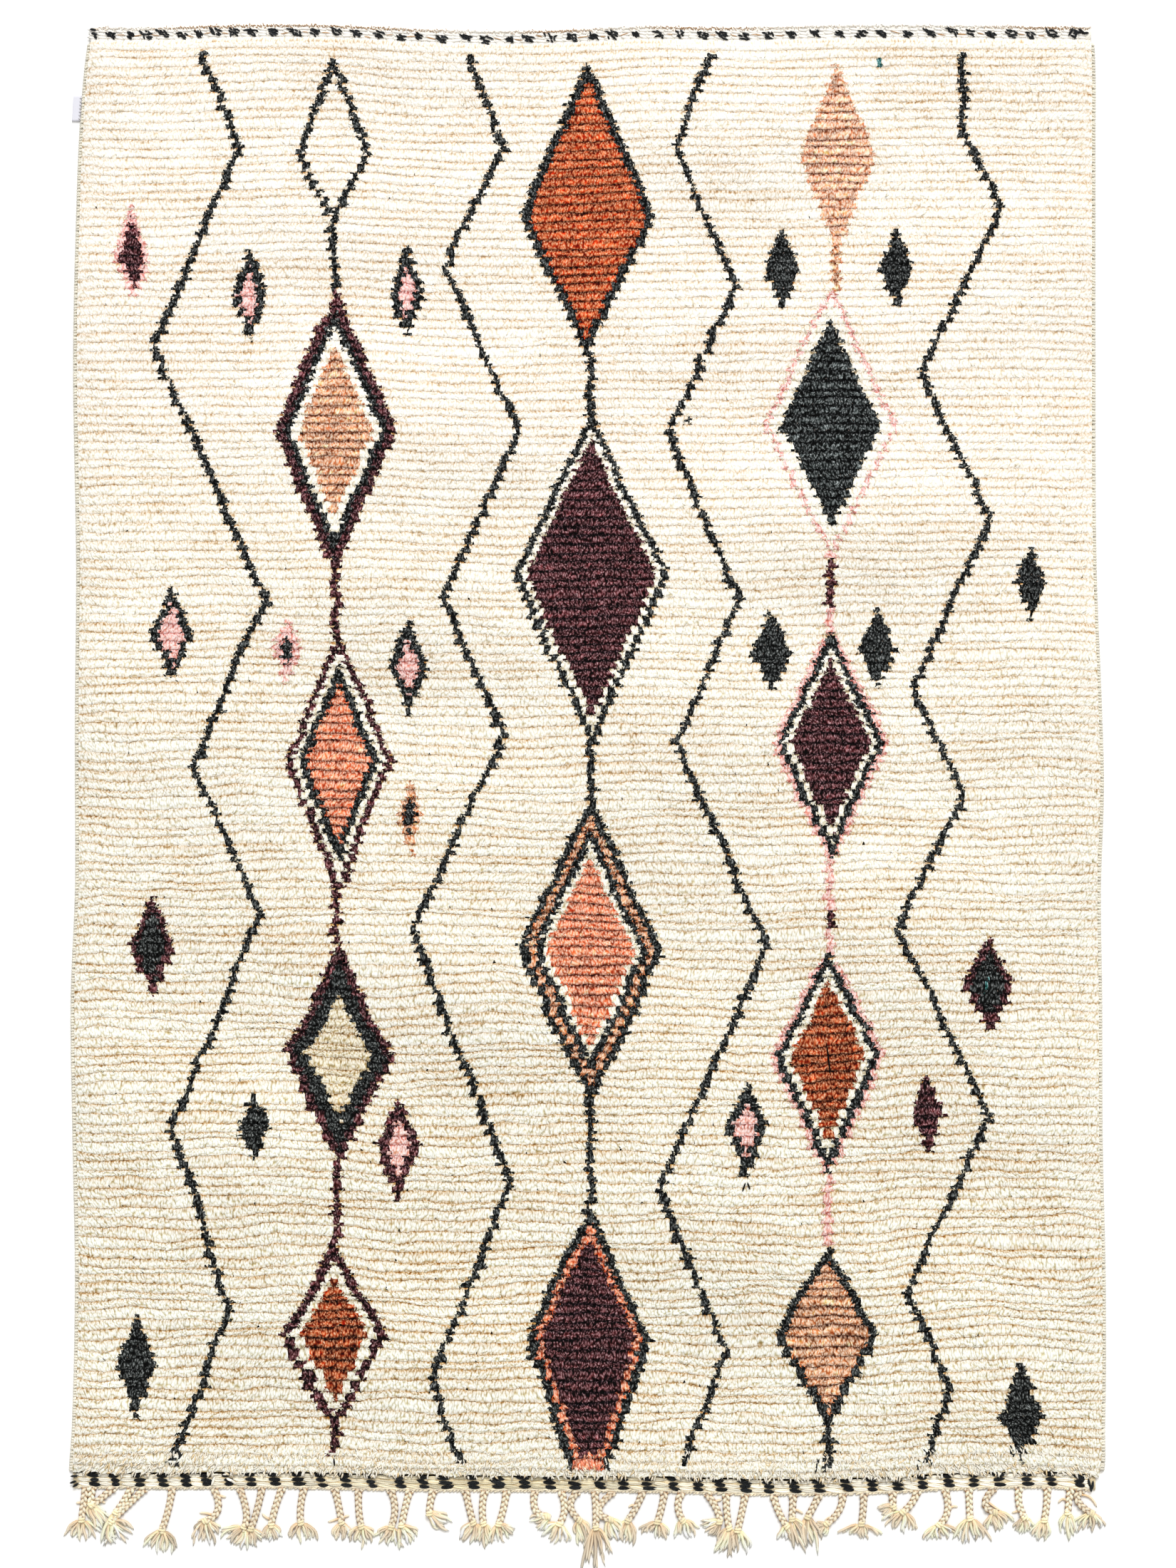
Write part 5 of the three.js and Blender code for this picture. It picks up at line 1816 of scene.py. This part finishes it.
# The camera: its lens and film width, and its place in metres
LENS = 100
FILM_WIDTH = 36
EYE = (0, -0.0437, 7.222)


def stage():
    """A near-white floor, a soft sun from the hemmed end and a pale surround."""
    material, _, shader = cloth("floor_paint", roughness=0.9, sheen=0.0)
    shader.inputs["Base Color"].default_value = (*linear(FLOOR_PAINT), 1)
    corners = FLOOR_REACH * np.array([(-1, -1, 0), (1, -1, 0), (1, 1, 0), (-1, 1, 0)]) + UP * FLOOR_HEIGHT
    mesh_object("floor", corners, np.array([(0, 1, 2), (0, 2, 3)]), material)
    sun = bpy.data.lights.new("key", "SUN")
    sun.energy = SUN_STRENGTH
    sun.angle = np.radians(SUN_SIZE)
    key = bpy.data.objects.new("key", sun)
    key.rotation_euler = np.radians(SUN_TURNS)
    bpy.context.scene.collection.objects.link(key)
    world = bpy.data.worlds.new("surround")
    world.use_nodes = True
    background = world.node_tree.nodes["Background"]
    background.inputs["Color"].default_value = SURROUND
    background.inputs["Strength"].default_value = SURROUND_STRENGTH
    bpy.context.scene.world = world
    bpy.context.scene.view_settings.view_transform = "Standard"


def camera():
    """The camera straight above the rug."""
    data = bpy.data.cameras.new("camera")
    data.lens = LENS
    data.sensor_width = FILM_WIDTH
    data.clip_end = 100
    eye = bpy.data.objects.new("camera", data)
    eye.location = EYE
    bpy.context.scene.collection.objects.link(eye)
    bpy.context.scene.camera = eye


def finish_with(pieces, node=None):
    """Pieces ride with the rug. The fixed model's node that they stand for, if one is given, is hidden."""
    for piece in pieces:
        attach(piece, "root")
    if node:
        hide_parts(node)
    return pieces


camera()
stage()
wool = pile_wool()
band_yarn = spun_yarn("band_yarn", roughness=0.85, sheen=0.1, ply_length=3.2, groove=0.5, contrast=0.8)
edge_yarn = spun_yarn("edge_yarn", roughness=0.85, sheen=0.1, ply_length=3.0, groove=0.3, contrast=0.5)
cotton = spun_yarn("warp_cotton", roughness=0.8, sheen=0.6, ply_length=2.6, groove=0.3, contrast=0.4)
ground_cloth = woven_cloth("ground_cloth", GROUND_WOOL, 0.9, 0.0, threads=0.4, groove=0.8, depth=0.5)
hem_cloth = woven_cloth("hem_cloth", HEM_WOOL, 0.9, 0.0, threads=0.4, groove=0.3, depth=0.3)
ribbon = woven_cloth("tab_ribbon", RIBBON, 0.55, 0.1, threads=1.6, groove=0.3, depth=0.12)

field = ground(ground_cloth)
others = finish_with(pile(wool, edge_yarn) + [loose_threads(wool)])
others += finish_with([
    hemmed_end_band(band_yarn), band_ground("hemmed_end_strip", hemmed_edge, 2.5, 28.0, 4.8, hem_cloth),
], "top_twined_edge")
others += finish_with([
    braided_end_band(band_yarn), band_ground("braided_end_strip", braided_edge, 2.0, 27.5, 3.6, ground_cloth),
], "bottom_twined_edge")
left_cord = overcast("left_overcast", left_edge, 1, edge_yarn, seed=3)
right_cord = overcast("right_overcast", right_edge, -1, edge_yarn, seed=4)
others += finish_with([left_cord], "left_selvedge")
others += finish_with([right_cord], "right_selvedge")
others += finish_with(fringe(cotton), "fringe")
others += finish_with([folded_tab(ribbon), tab_stitches(edge_yarn)], "label_tab")
finish_with([field], "rug_body")
